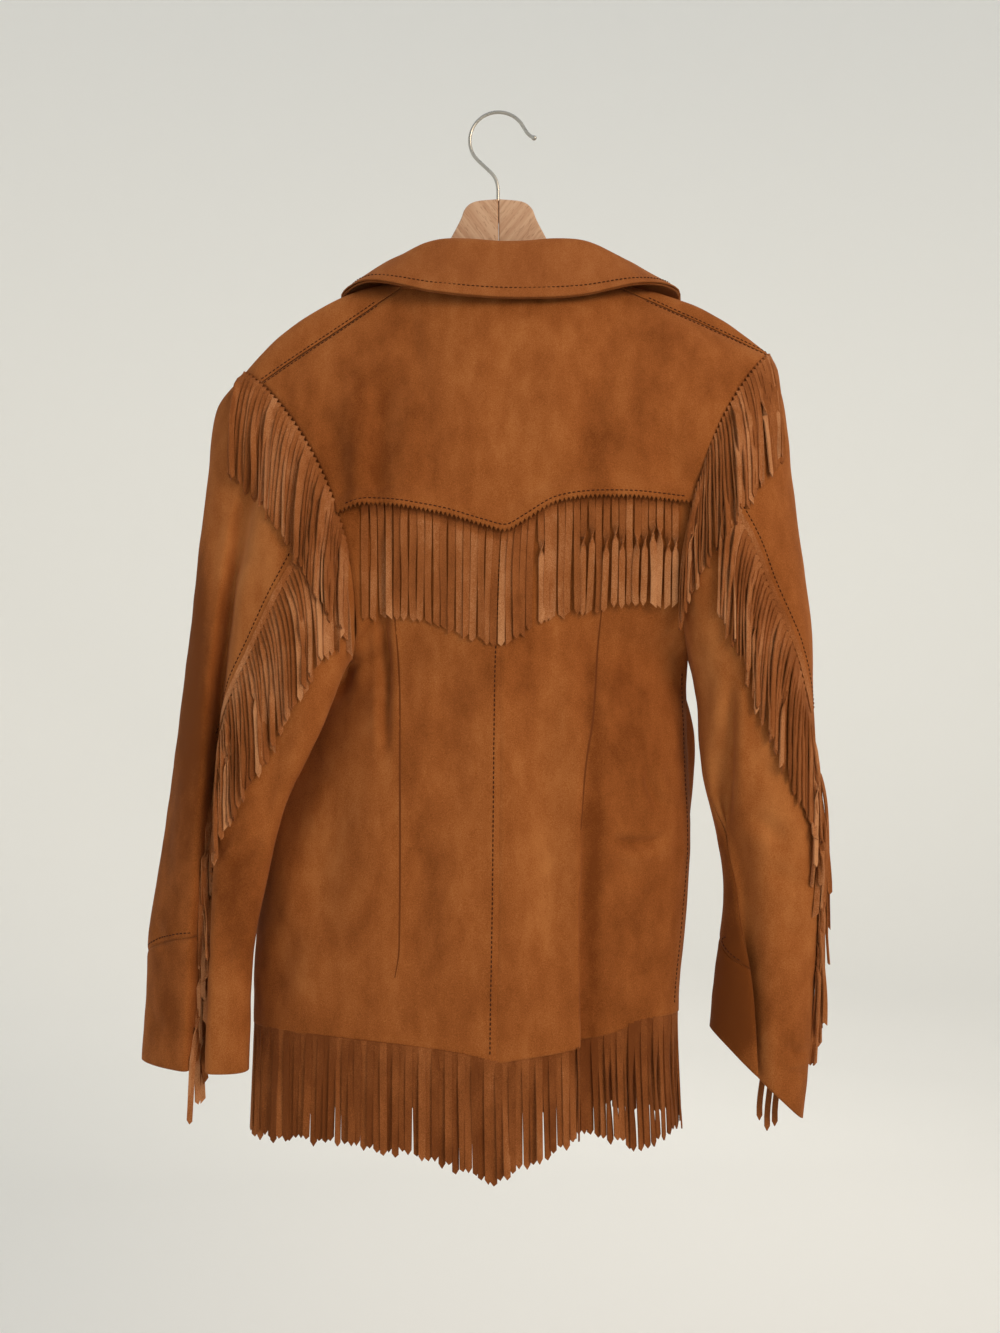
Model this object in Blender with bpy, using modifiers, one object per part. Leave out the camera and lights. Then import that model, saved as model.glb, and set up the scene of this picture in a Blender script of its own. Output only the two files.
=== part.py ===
"""Fringed suede western jacket on a wooden hanger, hung by a bent steel hook.

+Z is up and -Y is the side the jacket's back faces, so -X is the wearer's left. The origin is the inside of
the hook's crown, where the hook hangs. Every size is in millimetres until shape() turns it into metres.
"""

import math
from collections import namedtuple

import bmesh
import bpy
from mathutils import Vector
from mathutils.bvhtree import BVHTree

MM = 0.001

# Thicknesses of the cloth, and the gaps left between pieces so that each is a solid of its own.
WALL = 1.6
COLLAR_LAYER = 1.2
SEAM_GAP = 0.3
YOKE_LAP = 0.5
ARMHOLE_CLEAR = 2.2
SLEEVE_CLEAR = 1.0
SIDE_CLEAR = 0.7
FOLD_CLEAR = 2.1
COLLAR_CLEAR = 4.8
COLLAR_SPLIT = 0.8
FRINGE_DROP = 92.0
FRINGE_WALL = 4.0
FRINGE_CLEAR = 1.5
FRINGE_FEEL = 8.0

SUEDE = (0.31, 0.105, 0.028)
SUEDE_DARK = (0.26, 0.085, 0.022)
SUEDE_LIGHT = (0.37, 0.14, 0.045)
BEECH = (0.56, 0.33, 0.20)
STEEL = (0.55, 0.55, 0.55)
SUEDE_ROUGHNESS, BEECH_ROUGHNESS, STEEL_ROUGHNESS = 0.9, 0.55, 0.3

# A sleeve is a run of loops. Each loop has its outer and inner edge, how far the cloth stands to the back and
# the front of the line between them, how far it bows towards the body, the fold pressed into it, and the
# angles round it (0 outer edge, 90 back, 180 inner edge) of that fold and of its two long seams.
Loop = namedtuple(
    "Loop", "along outer_x outer_y outer_z inner_x inner_y inner_z back front bow fold fold_at hind fore"
)
SLEEVES = {
    "left": (
        Loop(0.00, -223, -4, -230, -125, -34, -480, 38, 58, 36, 0, 60, 108, 195),
        Loop(0.06, -246, -6, -262, -127, -47, -484, 37, 52, 26, 0, 60, 101, 195),
        Loop(0.17, -253, -8, -330, -133, -58, -500, 35, 44, 14, 2, 62, 96, 195),
        Loop(0.30, -262, -10, -410, -146, -63, -535, 33, 38, 6, 5, 64, 89, 195),
        Loop(0.44, -272, -12, -490, -162, -64, -570, 31, 33, 2, 9, 72, 80, 195),
        Loop(0.56, -280, -14, -560, -176, -62, -600, 29, 30, 0, 18, 80, 77, 195),
        Loop(0.67, -289, -16, -630, -191, -58, -648, 27, 28, 0, 28, 87, 83, 195),
        Loop(0.79, -299, -18, -700, -203, -52, -703, 26, 27, 0, 34, 95, 93, 195),
        Loop(0.86, -303, -18, -742, -208, -50, -745, 26, 26, 0, 36, 98, 97, 195),
        Loop(1.00, -308, -18, -824, -211, -48, -826, 26, 26, 0, 36, 99, 98, 195),
    ),
    "right": (
        Loop(0.00, 238, -2, -214, 166, -6, -475, 52, 48, 36, 0, 150, 80, 195),
        Loop(0.08, 249, -10, -262, 168, -18, -488, 50, 46, 28, 0, 150, 80, 195),
        Loop(0.17, 254, -16, -325, 170, -22, -503, 48, 44, 18, 2, 150, 73, 192),
        Loop(0.28, 262, -20, -395, 172, -24, -524, 46, 42, 10, 4, 148, 66, 188),
        Loop(0.38, 268, -24, -460, 173, -26, -555, 44, 40, 5, 6, 145, 51, 180),
        Loop(0.47, 270, -26, -520, 177, -28, -587, 43, 38, 2, 7, 142, 36, 172),
        Loop(0.58, 272, -28, -590, 186, -28, -625, 42, 36, 0, 8, 138, 15, 162),
        Loop(0.66, 275, -30, -640, 193, -28, -662, 40, 35, 0, 9, 134, 0, 152),
        Loop(0.74, 274, -32, -690, 193, -28, -698, 38, 34, 0, 10, 128, -6, 140),
        Loop(0.86, 269, -34, -760, 189, -26, -742, 36, 33, 0, 12, 116, -10, 116),
        Loop(1.00, 257, -40, -868, 184, -18, -798, 34, 30, 0, 12, 102, -10, 96),
    ),
}
FOLD_WIDTH = {"left": 13.0, "right": 16.0}
FRONT_BOW = 0.5
CUFF_STARTS = {"left": 0.855, "right": 0.845}
TOP_ROWS, CUFF_ROWS = 12, 3

# Where the shoulder seam and the yoke seam meet each armhole, as angles round its loop.
SHOULDER_AT = {"left": 30.0, "right": 8.0}
YOKE_AT = {"left": 96.0, "right": 95.0}
UNDERARM = 180.0

Level = namedtuple("Level", "z x y")
SIDE_SEAMS = {
    "left": (
        Level(-480, -125, -34),
        Level(-500, -132, -20),
        Level(-530, -152, -6),
        Level(-580, -178, 0),
        Level(-650, -197, 2),
        Level(-720, -206, 2),
        Level(-800, -211, 0),
        Level(-888, -215, -2),
    ),
    "right": (
        Level(-475, 166, -6),
        Level(-510, 165, -2),
        Level(-570, 166, 0),
        Level(-640, 169, 0),
        Level(-700, 164, 0),
        Level(-780, 157, 0),
        Level(-882, 160, 0),
    ),
}
CENTRE_BACK = (
    Level(-371, 6, -63),
    Level(-500, 2, -66),
    Level(-680, 0, -70),
    Level(-812, -2, -68),
    Level(-912, -1, -66),
)
FRONT_EDGES = {
    "left": (Level(-258, -3, 52), Level(-480, -4, 55), Level(-700, -7, 58), Level(-894, -10, 56)),
    "right": (Level(-258, 3, 52), Level(-480, 4, 55), Level(-700, 8, 58), Level(-894, 12, 56)),
}

# Rise of a seam above the straight line between its ends, across from the wearer's left to right.
Rise = namedtuple("Rise", "across rise")
YOKE_SEAM = (
    Rise(0.0, 0),
    Rise(0.09, 7),
    Rise(0.28, -2),
    Rise(0.42, -15),
    Rise(0.475, -19),
    Rise(0.52, -12),
    Rise(0.62, 4),
    Rise(0.80, 7),
    Rise(1.0, 0),
)
YOKE_CROWN = 6.0
CENTRE_BACK_SPLIT = 0.475
HEM_BACK = {
    "left": (Rise(0.0, 0), Rise(0.3, 11), Rise(0.6, 14), Rise(0.8, 9), Rise(1.0, 0)),
    "right": (Rise(0.0, 0), Rise(0.28, -1), Rise(0.5, 17), Rise(0.75, 14), Rise(1.0, 0)),
}

# Soft folds of the lower back: where they run, how wide and how deep they are (a deep one sinks to +Y), and
# the heights between which they grow and fade.
Fold = namedtuple("Fold", "top_x foot_x width depth top_z full_z")
BACK_FOLDS = (
    Fold(-99, -97, 11, 9, -470, -400),
    Fold(-140, -160, 26, 6, -820, -560),
)
STEP_TOP, STEP_FULL = -540.0, -860.0
STEP_X, STEP_HALF, STEP_DEPTH = 69.0, 5.0, 17.0
STEP_REACH = 70.0

# The neck edge, from the left front round the back to the right, with the collar's fold and outer edge.
Neck = namedtuple("Neck", "along x y z fold_x fold_y fold_z edge_x edge_y edge_z")
NECK = (
    Neck(-1.00, -4, 52, -258, -9, 60, -252, -60, 62, -284),
    Neck(-0.85, -34, 50, -234, -39, 57, -226, -88, 60, -252),
    Neck(-0.68, -64, 38, -200, -70, 44, -187, -116, 49, -214),
    Neck(-0.55, -84, 15, -164, -88, 18, -148, -133, 26, -172),
    Neck(-0.47, -88, 0, -152, -91, 0, -134, -138, 4, -153),
    Neck(-0.38, -82, -17, -156, -82, -14, -131, -112, -28, -150),
    Neck(-0.20, -44, -31, -164, -50, -26, -121, -52, -46, -170),
    Neck(0.00, 4, -37, -167, 6, -32, -125, 6, -51, -176),
    Neck(0.20, 54, -31, -164, 66, -27, -121, 66, -46, -173),
    Neck(0.38, 102, -16, -156, 106, -13, -133, 124, -31, -158),
    Neck(0.47, 110, 0, -153, 113, 0, -137, 158, 2, -153),
    Neck(0.55, 103, 15, -166, 109, 21, -149, 160, 34, -173),
    Neck(0.68, 76, 38, -201, 86, 49, -187, 134, 57, -216),
    Neck(0.85, 38, 50, -234, 46, 60, -226, 96, 65, -252),
    Neck(1.00, 4, 52, -258, 10, 61, -252, 62, 66, -284),
)
NECK_POINT = 0.38
NECK_RIDGE = 0.47
FOLD_RADIUS = 4.0
LEAF_LIFT = 1.5

# How far across the yoke's top edge the neck starts and ends.
NECK_FROM, NECK_TO = 0.28, 0.70

# Where each fringe runs: shares of the yoke seam, angles round the armhole, shares of the sleeve's length, and
# the line that the forearm strips hang down.
YOKE_FRINGE = (0.07, 0.95)
ARMHOLE_FRINGE = {"left": (0, 112), "right": (0, 100)}
SLEEVE_FRINGE = {"left": (0.02, 0.47), "right": (0.08, 0.45)}
FOREARM_HALF_WIDTH = 6.0
FOREARM_FRINGE = {
    "left": (
        Level(-560, -243, -66),
        Level(-620, -246, -60),
        Level(-700, -249, -52),
        Level(-760, -251, -50),
        Level(-850, -252, -50),
    ),
    "right": (
        Level(-530, 279, -30),
        Level(-600, 282, -32),
        Level(-680, 285, -34),
        Level(-760, 280, -36),
        Level(-850, 272, -38),
    ),
}

# How much the shoulder's ridge rises above the straight line from neck to armhole.
RIDGE_RISE = {"left": 22.0, "right": 13.0}
RIDGE_ROW = 0.05
FRONT_TOP_ROW = 0.15
FRONT_UNDERARM_ROW = 0.33
BACK_UNDERARM_ROW = 0.23
SIDE_TURNS_OVER = 0.12

# Lengths along which the gaps between pieces are set off.
HALF_BACK, BACK_LENGTH, YOKE_LENGTH, FRONT_LENGTH, SLEEVE_LENGTH, SLEEVE_ROUND = 130, 520, 170, 760, 420, 300

WOOD_THICK, WOOD_ROUND = 13.0, 1.5
HangerPoint = namedtuple("HangerPoint", "x z")
HANGER_OUTLINE = (
    HangerPoint(0, -76.6),
    HangerPoint(20, -79),
    HangerPoint(31, -87.5),
    HangerPoint(35, -98),
    HangerPoint(43, -113),
    HangerPoint(55, -135),
    HangerPoint(74, -158),
    HangerPoint(110, -168),
    HangerPoint(150, -182),
    HangerPoint(180, -200),
    HangerPoint(196, -214),
    HangerPoint(202, -224),
    HangerPoint(198, -232),
    HangerPoint(187, -234),
    HangerPoint(150, -212),
    HangerPoint(100, -192),
    HangerPoint(50, -178),
    HangerPoint(0, -172),
)
WIRE = 1.55
HOOK_CENTRE_Z, HOOK_RADIUS = -23.6, 25.2
HOOK_FROM, HOOK_TO = 210.0, 25.0
HOOK_STEM_X, HOOK_FOOT_Z, BORE_DEPTH = -0.4, -96.0, 40.0
HookPoint = namedtuple("HookPoint", "x z wide")
HOOK_TIP = (
    HookPoint(33.2, -21.6, 0.7),
    HookPoint(32.6, -21.4, 1.25),
    HookPoint(31.5, -21.1, 1.45),
    HookPoint(30.3, -20.6, 1.25),
    HookPoint(29.2, -20.0, 1.0),
    HookPoint(26.2, -17.9, 1.0),
)
HOOK_BEND = (
    HookPoint(-18.0, -40.5, 1.0),
    HookPoint(-13.2, -45.2, 1.0),
    HookPoint(-8.0, -50.0, 1.0),
    HookPoint(-3.9, -54.5, 1.0),
    HookPoint(-1.4, -59.5, 1.0),
    HookPoint(-0.4, -65.5, 1.0),
)


def clear_scene():
    for obj in list(bpy.data.objects):
        bpy.data.objects.remove(obj, do_unlink=True)


def new_collection(name, hidden=False):
    made = bpy.data.collections.new(name)
    bpy.context.scene.collection.children.link(made)
    made.hide_render = hidden
    return made


def finish(name, colour, roughness, metallic=0.0):
    """A Principled material of its own for one piece, in the given linear colour."""
    made = bpy.data.materials.new(name)
    made.use_nodes = True
    shader = made.node_tree.nodes["Principled BSDF"]
    shader.inputs["Base Color"].default_value = (*colour, 1.0)
    shader.inputs["Roughness"].default_value = roughness
    shader.inputs["Metallic"].default_value = metallic
    return made


def mix(a, b, share):
    return a + (b - a) * share


def smooth(share):
    share = min(max(share, 0.0), 1.0)
    return share * share * (3 - 2 * share)


def row_at(rows, place):
    """The row at this value of the first column, on a smooth curve through the rows."""
    keys = [row[0] for row in rows]
    rising = keys[-1] > keys[0]
    last = len(rows) - 2
    i = 0
    while i < last and (place > keys[i + 1] if rising else place < keys[i + 1]):
        i += 1
    a, b = rows[i], rows[i + 1]
    before, after = rows[max(i - 1, 0)], rows[min(i + 2, last + 1)]
    span = b[0] - a[0]
    share = min(max((place - a[0]) / span, 0.0), 1.0)
    found = []
    for column in range(len(a)):
        slope_a = (b[column] - before[column]) / (b[0] - before[0]) * span
        slope_b = (after[column] - a[column]) / (after[0] - a[0]) * span
        found.append(
            a[column] * (2 * share**3 - 3 * share**2 + 1)
            + slope_a * (share**3 - 2 * share**2 + share)
            + b[column] * (3 * share**2 - 2 * share**3)
            + slope_b * (share**3 - share**2)
        )
    return type(a)(*found)


def sleeve_point(side, along, around):
    """A point of the sleeve, by its place along it and its angle round it in degrees."""
    loop = row_at(SLEEVES[side], along)
    angle = math.radians(around)
    outer = Vector((loop.outer_x, loop.outer_y, loop.outer_z))
    inner = Vector((loop.inner_x, loop.inner_y, loop.inner_z))
    half = (outer - inner) / 2
    reach = loop.back if math.sin(angle) > 0 else loop.front
    inward = 1 if side == "left" else -1
    towards_body = Vector((half.z * inward, 0, -half.x * inward)).normalized()
    off_fold = (around - loop.fold_at) / FOLD_WIDTH[side]
    point = (outer + inner) / 2 + half * math.cos(angle)
    bow = loop.bow if math.sin(angle) > 0 else loop.bow * FRONT_BOW
    point += towards_body * bow * abs(math.sin(angle)) ** 1.6
    point.y += loop.fold * math.exp(-(off_fold**2)) - reach * math.sin(angle)
    return point


def armhole(side, around):
    return sleeve_point(side, 0.0, around)


def seam_level(rows, z):
    level = row_at(rows, z)
    return Vector((level.x, level.y, z))


def neck_edge(along):
    row = row_at(NECK, along)
    return Vector((row.x, row.y, row.z))


def side_sign(side):
    return -1 if side == "left" else 1


def shoulder_seam(side, share):
    """From the armhole, at 0, to the neck, at 1."""
    return armhole(side, SHOULDER_AT[side]).lerp(neck_edge(side_sign(side) * NECK_POINT), share)


def yoke_seam(across):
    """The yoke's lower edge, from the left armhole, at 0, to the right, at 1."""
    point = armhole("left", YOKE_AT["left"]).lerp(armhole("right", YOKE_AT["right"]), across)
    point.z += row_at(YOKE_SEAM, across).rise
    point.y -= YOKE_CROWN * 4 * across * (1 - across)
    return point


def yoke_top(across):
    """Left shoulder seam, back of the neck and right shoulder seam, in one line."""
    if across < NECK_FROM:
        return shoulder_seam("left", across / NECK_FROM)
    if across > NECK_TO:
        return shoulder_seam("right", (1 - across) / (1 - NECK_TO))
    share = (across - NECK_FROM) / (NECK_TO - NECK_FROM)
    return neck_edge(mix(-NECK_POINT, NECK_POINT, share))


def inset(share, start, end, length):
    """The share, kept these many millimetres off the start and the end of an edge of this length."""
    return mix(start / length, 1 - end / length, share)


def patch(near, far, top, foot, share, v, turn=0.0):
    """A surface through four edge curves, near to far across and top to foot down. At turn 1 it leaves its near
    edge square to the line across, as cloth does that rounds a side."""
    across = mix(share, 1 - math.cos(share * math.pi / 2), turn)
    outward = mix(share, math.sin(share * math.pi / 2), turn)
    point = near(v).lerp(far(v), across) + top(across).lerp(foot(across), v)
    point -= top(0).lerp(top(1), across).lerp(foot(0).lerp(foot(1), across), v)
    straight = mix(mix(top(0).y, top(1).y, across), mix(foot(0).y, foot(1).y, across), v)
    point.y = mix(near(v).y, far(v).y, outward) + mix(top(across).y, foot(across).y, v) - straight
    return point


def back_side_edge(side, v):
    """Edge of the lower back: the armhole below the yoke, then the side seam."""
    if v < BACK_UNDERARM_ROW:
        return armhole(side, mix(YOKE_AT[side], UNDERARM, v / BACK_UNDERARM_ROW))
    rows = SIDE_SEAMS[side]
    return seam_level(rows, mix(rows[0].z, rows[-1].z, (v - BACK_UNDERARM_ROW) / (1 - BACK_UNDERARM_ROW)))


def centre_back(v):
    level = seam_level(CENTRE_BACK, mix(CENTRE_BACK[0].z, CENTRE_BACK[-1].z, v))
    start = yoke_seam(CENTRE_BACK_SPLIT)
    return level + (start - seam_level(CENTRE_BACK, CENTRE_BACK[0].z)) * (1 - smooth(v * 4))


def half_hem(side, u):
    rows = SIDE_SEAMS[side]
    point = seam_level(rows, rows[-1].z).lerp(centre_back(1), u)
    point.z += row_at(HEM_BACK[side], u).rise
    return point


def half_yoke_seam(side, u):
    return yoke_seam(CENTRE_BACK_SPLIT * u if side == "left" else mix(1, CENTRE_BACK_SPLIT, u))


def back_folds(point):
    """How far the folds push the lower back in, towards +Y, at this point."""
    sunk = 0.0
    for fold in BACK_FOLDS:
        down = (point.z - fold.top_z) / (fold.full_z - fold.top_z)
        fade = smooth(down)
        middle = mix(fold.foot_x, fold.top_x, smooth((point.z + 880) / 500))
        sunk += fold.depth * fade * math.exp(-(((point.x - middle) / fold.width) ** 2))
    step = smooth((point.z - STEP_TOP) / (STEP_FULL - STEP_TOP))
    past = (point.x - STEP_X) / STEP_HALF
    if past > -1:
        sunk += STEP_DEPTH * step * smooth((past + 1) / 2) * (1 - smooth((point.x - STEP_X) / STEP_REACH))
    return sunk


def side_clear(below_underarm):
    return mix(ARMHOLE_CLEAR, SIDE_CLEAR, smooth((below_underarm - 0.04) / SIDE_TURNS_OVER))


def lower_back(side, u, v):
    """A point of the lower back, u from the side edge to the centre, v from the yoke seam to the hem."""
    turn = smooth((v - BACK_UNDERARM_ROW) / SIDE_TURNS_OVER)
    u = inset(u, side_clear(v - BACK_UNDERARM_ROW), SEAM_GAP / 2, HALF_BACK)
    point = patch(
        lambda s: back_side_edge(side, s),
        centre_back,
        lambda s: half_yoke_seam(side, s),
        lambda s: half_hem(side, s),
        u,
        inset(v, YOKE_LAP, 0, BACK_LENGTH),
        turn,
    )
    point.y += back_folds(point) * smooth(u * 4)
    return point


def yoke(u, v):
    def side_edge(side):
        return lambda s: armhole(side, mix(SHOULDER_AT[side], YOKE_AT[side], s))

    u = inset(u, ARMHOLE_CLEAR, ARMHOLE_CLEAR, 2 * HALF_BACK)
    v = inset(v, SEAM_GAP, YOKE_LAP, YOKE_LENGTH)
    return patch(side_edge("left"), side_edge("right"), yoke_top, yoke_seam, u, v)


def front_side_edge(side, v):
    """Edge of a front: the armhole from the shoulder seam over the top and down, then the side seam."""
    if v < RIDGE_ROW:
        return armhole(side, mix(SHOULDER_AT[side], 0, v / RIDGE_ROW))
    if v < FRONT_UNDERARM_ROW:
        share = (v - RIDGE_ROW) / (FRONT_UNDERARM_ROW - RIDGE_ROW)
        return armhole(side, mix(0, UNDERARM - 360, share))
    rows = SIDE_SEAMS[side]
    share = (v - FRONT_UNDERARM_ROW) / (1 - FRONT_UNDERARM_ROW)
    return seam_level(rows, mix(rows[0].z, rows[-1].z, share))


def front_middle_edge(side, v):
    """Edge of a front: the neck from the shoulder seam over the ridge to the front, then the opening."""
    sign = side_sign(side)
    if v < RIDGE_ROW:
        return neck_edge(sign * mix(NECK_POINT, NECK_RIDGE, v / RIDGE_ROW))
    if v < FRONT_TOP_ROW:
        return neck_edge(sign * mix(NECK_RIDGE, 1, (v - RIDGE_ROW) / (FRONT_TOP_ROW - RIDGE_ROW)))
    rows = FRONT_EDGES[side]
    if v < FRONT_UNDERARM_ROW:
        share = (v - FRONT_TOP_ROW) / (FRONT_UNDERARM_ROW - FRONT_TOP_ROW)
        return seam_level(rows, mix(rows[0].z, rows[1].z, share))
    share = (v - FRONT_UNDERARM_ROW) / (1 - FRONT_UNDERARM_ROW)
    return seam_level(rows, mix(rows[1].z, rows[-1].z, share))


def front(side, u, v):
    """A point of a front, u from the armhole and side seam to the opening, v from the shoulder seam to the hem."""
    turn = smooth((v - FRONT_UNDERARM_ROW) / SIDE_TURNS_OVER)
    u = inset(u, side_clear(v - FRONT_UNDERARM_ROW), 0, HALF_BACK)
    v = inset(v, SEAM_GAP, 0, FRONT_LENGTH)
    near, far = front_side_edge(side, v), front_middle_edge(side, v)
    point = near.lerp(far, mix(u, 1 - math.cos(u * math.pi / 2), turn))
    point.y = mix(near.y, far.y, mix(u, math.sin(u * math.pi / 2), turn))
    up_to_ridge = math.sin(min(v / RIDGE_ROW, 1) * math.pi / 2)
    past_ridge = smooth((v - RIDGE_ROW) / (FRONT_UNDERARM_ROW - RIDGE_ROW))
    point.z += RIDGE_RISE[side] * up_to_ridge * (1 - past_ridge) * 4 * u * (1 - u)
    return point


def collar_middle(along, share):
    """A point midway between the collar's layers: share 0 at the neck seam, 0.5 on the fold, 1 at the edge."""
    row = row_at(NECK, along)
    neck = Vector((row.x, row.y, row.z))
    fold = Vector((row.fold_x, row.fold_y, row.fold_z))
    edge = Vector((row.edge_x, row.edge_y, row.edge_z))
    up = (fold - (neck + edge) / 2).normalized()
    out = (edge - neck) - up * (edge - neck).dot(up)
    out = out.normalized() * FOLD_RADIUS
    inner_top = fold - out - up * FOLD_RADIUS
    outer_top = fold + out - up * FOLD_RADIUS
    start = neck.lerp(inner_top, min(COLLAR_CLEAR / (inner_top - neck).length, 0.5))
    route = (
        (0.0, start),
        (0.25, start.lerp(inner_top, 0.5)),
        (0.375, inner_top),
        (0.5, fold),
        (0.625, outer_top),
        (0.75, outer_top.lerp(edge, 0.4) + up * LEAF_LIFT),
        (1.0, edge),
    )
    for (from_share, a), (to_share, b) in zip(route, route[1:]):
        if share <= to_share:
            return a.lerp(b, (share - from_share) / (to_share - from_share))
    return edge


def collar(along, share, off):
    """The collar's middle moved off towards its upper layer."""
    step = 0.06
    low, high = max(share - step, 0), min(share + step, 1)
    left, right = max(along - step, -1), min(along + step, 1)
    down = collar_middle(along, high) - collar_middle(along, low)
    sideways = collar_middle(right, share) - collar_middle(left, share)
    return collar_middle(along, share) + down.cross(sideways).normalized() * off


def shape(name, segments, point, colour, home, thick=WALL):
    """A grid bent onto point(u, v) and given its thickness, half to each side."""
    grid = bmesh.new()
    bmesh.ops.create_grid(grid, x_segments=segments[0], y_segments=segments[1], size=0.5)
    for vert in grid.verts:
        vert.co = point(vert.co.x + 0.5, 0.5 - vert.co.y) * MM
    mesh = bpy.data.meshes.new(name)
    grid.to_mesh(mesh)
    grid.free()
    mesh.shade_smooth()
    obj = bpy.data.objects.new(name, mesh)
    home.objects.link(obj)
    obj.data.materials.append(finish(name, colour, SUEDE_ROUGHNESS))
    wall = obj.modifiers.new("wall", "SOLIDIFY")
    wall.thickness = thick * MM
    wall.offset = 0.0
    return obj


def make_yoke(home):
    return shape("back_yoke", (18, 8), yoke, SUEDE, home)


def make_lower_back(home, side):
    return shape(f"back_{side}", (11, 16), lambda u, v: lower_back(side, u, v), SUEDE, home)


def make_front(home, side):
    def point(u, v):
        # The rows stand closer together over the shoulder than they do further down.
        return front(side, u, mix(v * v, v, 0.4))

    return shape(f"front_{side}", (9, 19), point, SUEDE, home)


def round_sleeve(side, along, start, end, u):
    """A point of a piece that runs from one angle round the sleeve to the other."""
    return sleeve_point(side, along, mix(start, end, inset(u, FOLD_CLEAR, FOLD_CLEAR, SLEEVE_ROUND / 2)))


def make_under_sleeve(home, side):
    def point(u, v):
        joint = TOP_ROWS / (TOP_ROWS + CUFF_ROWS)
        if v <= joint:
            along = mix(SLEEVE_CLEAR / SLEEVE_LENGTH, CUFF_STARTS[side], v / joint)
        else:
            along = mix(CUFF_STARTS[side], 1, (v - joint) / (1 - joint))
        row = row_at(SLEEVES[side], along)
        return round_sleeve(side, row.along, row.hind, row.fore, u)

    return shape(f"sleeve_under_{side}", (8, TOP_ROWS + CUFF_ROWS), point, SUEDE, home)


def make_outer_sleeve(home, name, rows, side, start, end):
    """The top sleeve or the cuff piece below it, between these two places along the sleeve."""

    def point(u, v):
        row = row_at(SLEEVES[side], mix(start, end, v))
        return round_sleeve(side, row.along, row.hind, row.fore - 360, u)

    return shape(f"{name}_{side}", (13, rows), point, SUEDE, home)


def make_sleeve(home, side):
    joint, gap = CUFF_STARTS[side], SEAM_GAP / 2 / SLEEVE_LENGTH
    return [
        make_under_sleeve(home, side),
        make_outer_sleeve(home, "sleeve_top", TOP_ROWS, side, SLEEVE_CLEAR / SLEEVE_LENGTH, joint - gap),
        make_outer_sleeve(home, "sleeve_cuff", CUFF_ROWS, side, joint + gap, 1),
    ]


def make_collar(home):
    off = (COLLAR_LAYER + COLLAR_SPLIT) / 2
    for name, sign in (("collar_upper", 1), ("collar_under", -1)):

        def point(u, v, sign=sign):
            return collar(mix(-1, 1, u), v, off * sign)

        shape(name, (20, 8), point, SUEDE_DARK, home, COLLAR_LAYER)


def trees_of(objects):
    """What the fringe can lie on, as ray-cast trees of the finished solids."""
    bpy.context.view_layer.update()
    graph = bpy.context.evaluated_depsgraph_get()
    return [BVHTree.FromObject(obj, graph) for obj in objects]


def back_of(trees, x, z):
    """The y of whatever stands furthest back at this place, looked at along +Y, or None past every edge."""
    found = None
    for tree in trees:
        hit = tree.ray_cast(Vector((x, -400, z)) * MM, Vector((0, 1, 0)))[0]
        if hit is not None and (found is None or hit.y / MM < found):
            found = hit.y / MM
    return found


def hung(trees, seam, lift):
    """point(u, v) of a fringe that hangs from seam(u) and lies on what is behind it and just round it."""
    around = [(FRINGE_FEEL * i, FRINGE_FEEL * j) for i in (-1, 0, 1) for j in (-1, 0, 1)]

    def point(u, v):
        start = seam(u)
        z = start.z - FRINGE_DROP * v
        backs = [back_of(trees, start.x + i, z + j) for i, j in around]
        backs = [y for y in backs if y is not None]
        y = min(backs) if backs else start.y
        return Vector((start.x, y - lift, z))

    return point


def make_yoke_fringe(home, behind):
    point = hung(trees_of(behind), lambda u: yoke_seam(mix(*YOKE_FRINGE, u)), FRINGE_WALL / 2 + FRINGE_CLEAR)
    return shape("fringe_yoke", (18, 3), point, SUEDE_LIGHT, home, FRINGE_WALL)


def make_sleeve_fringe(home, behind, side):
    def seam(u):
        along = mix(*SLEEVE_FRINGE[side], u)
        return sleeve_point(side, along, row_at(SLEEVES[side], along).hind)

    point = hung(trees_of(behind), seam, FRINGE_WALL / 2 + FRINGE_CLEAR)
    return shape(f"fringe_sleeve_{side}", (10, 4), point, SUEDE_LIGHT, home, FRINGE_WALL)


def make_forearm_fringe(home, side):
    def point(u, v):
        rows = FOREARM_FRINGE[side]
        level = seam_level(rows, mix(rows[0].z, rows[-1].z, v))
        level.x += mix(-1, 1, u) * FOREARM_HALF_WIDTH
        return level

    return shape(f"fringe_forearm_{side}", (1, 7), point, SUEDE_LIGHT, home, FRINGE_WALL)


def make_armhole_fringe(home, behind, side):
    def seam(u):
        return armhole(side, mix(*ARMHOLE_FRINGE[side], u))

    point = hung(trees_of(behind), seam, FRINGE_WALL / 2 + 3 * FRINGE_CLEAR)
    return shape(f"fringe_armhole_{side}", (10, 4), point, SUEDE_LIGHT, home, FRINGE_WALL)


def meshed(curve_object, name, home):
    """A curve's evaluated shape as a welded mesh object in its place, so that it can be cut."""
    graph = bpy.context.evaluated_depsgraph_get()
    mesh = bpy.data.meshes.new_from_object(curve_object.evaluated_get(graph))
    welded = bmesh.new()
    welded.from_mesh(mesh)
    bmesh.ops.remove_doubles(welded, verts=welded.verts, dist=1e-6)
    welded.to_mesh(mesh)
    welded.free()
    obj = bpy.data.objects.new(name, mesh)
    obj.matrix_world = curve_object.matrix_world
    home.objects.link(obj)
    bpy.data.objects.remove(curve_object, do_unlink=True)
    return obj


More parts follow.
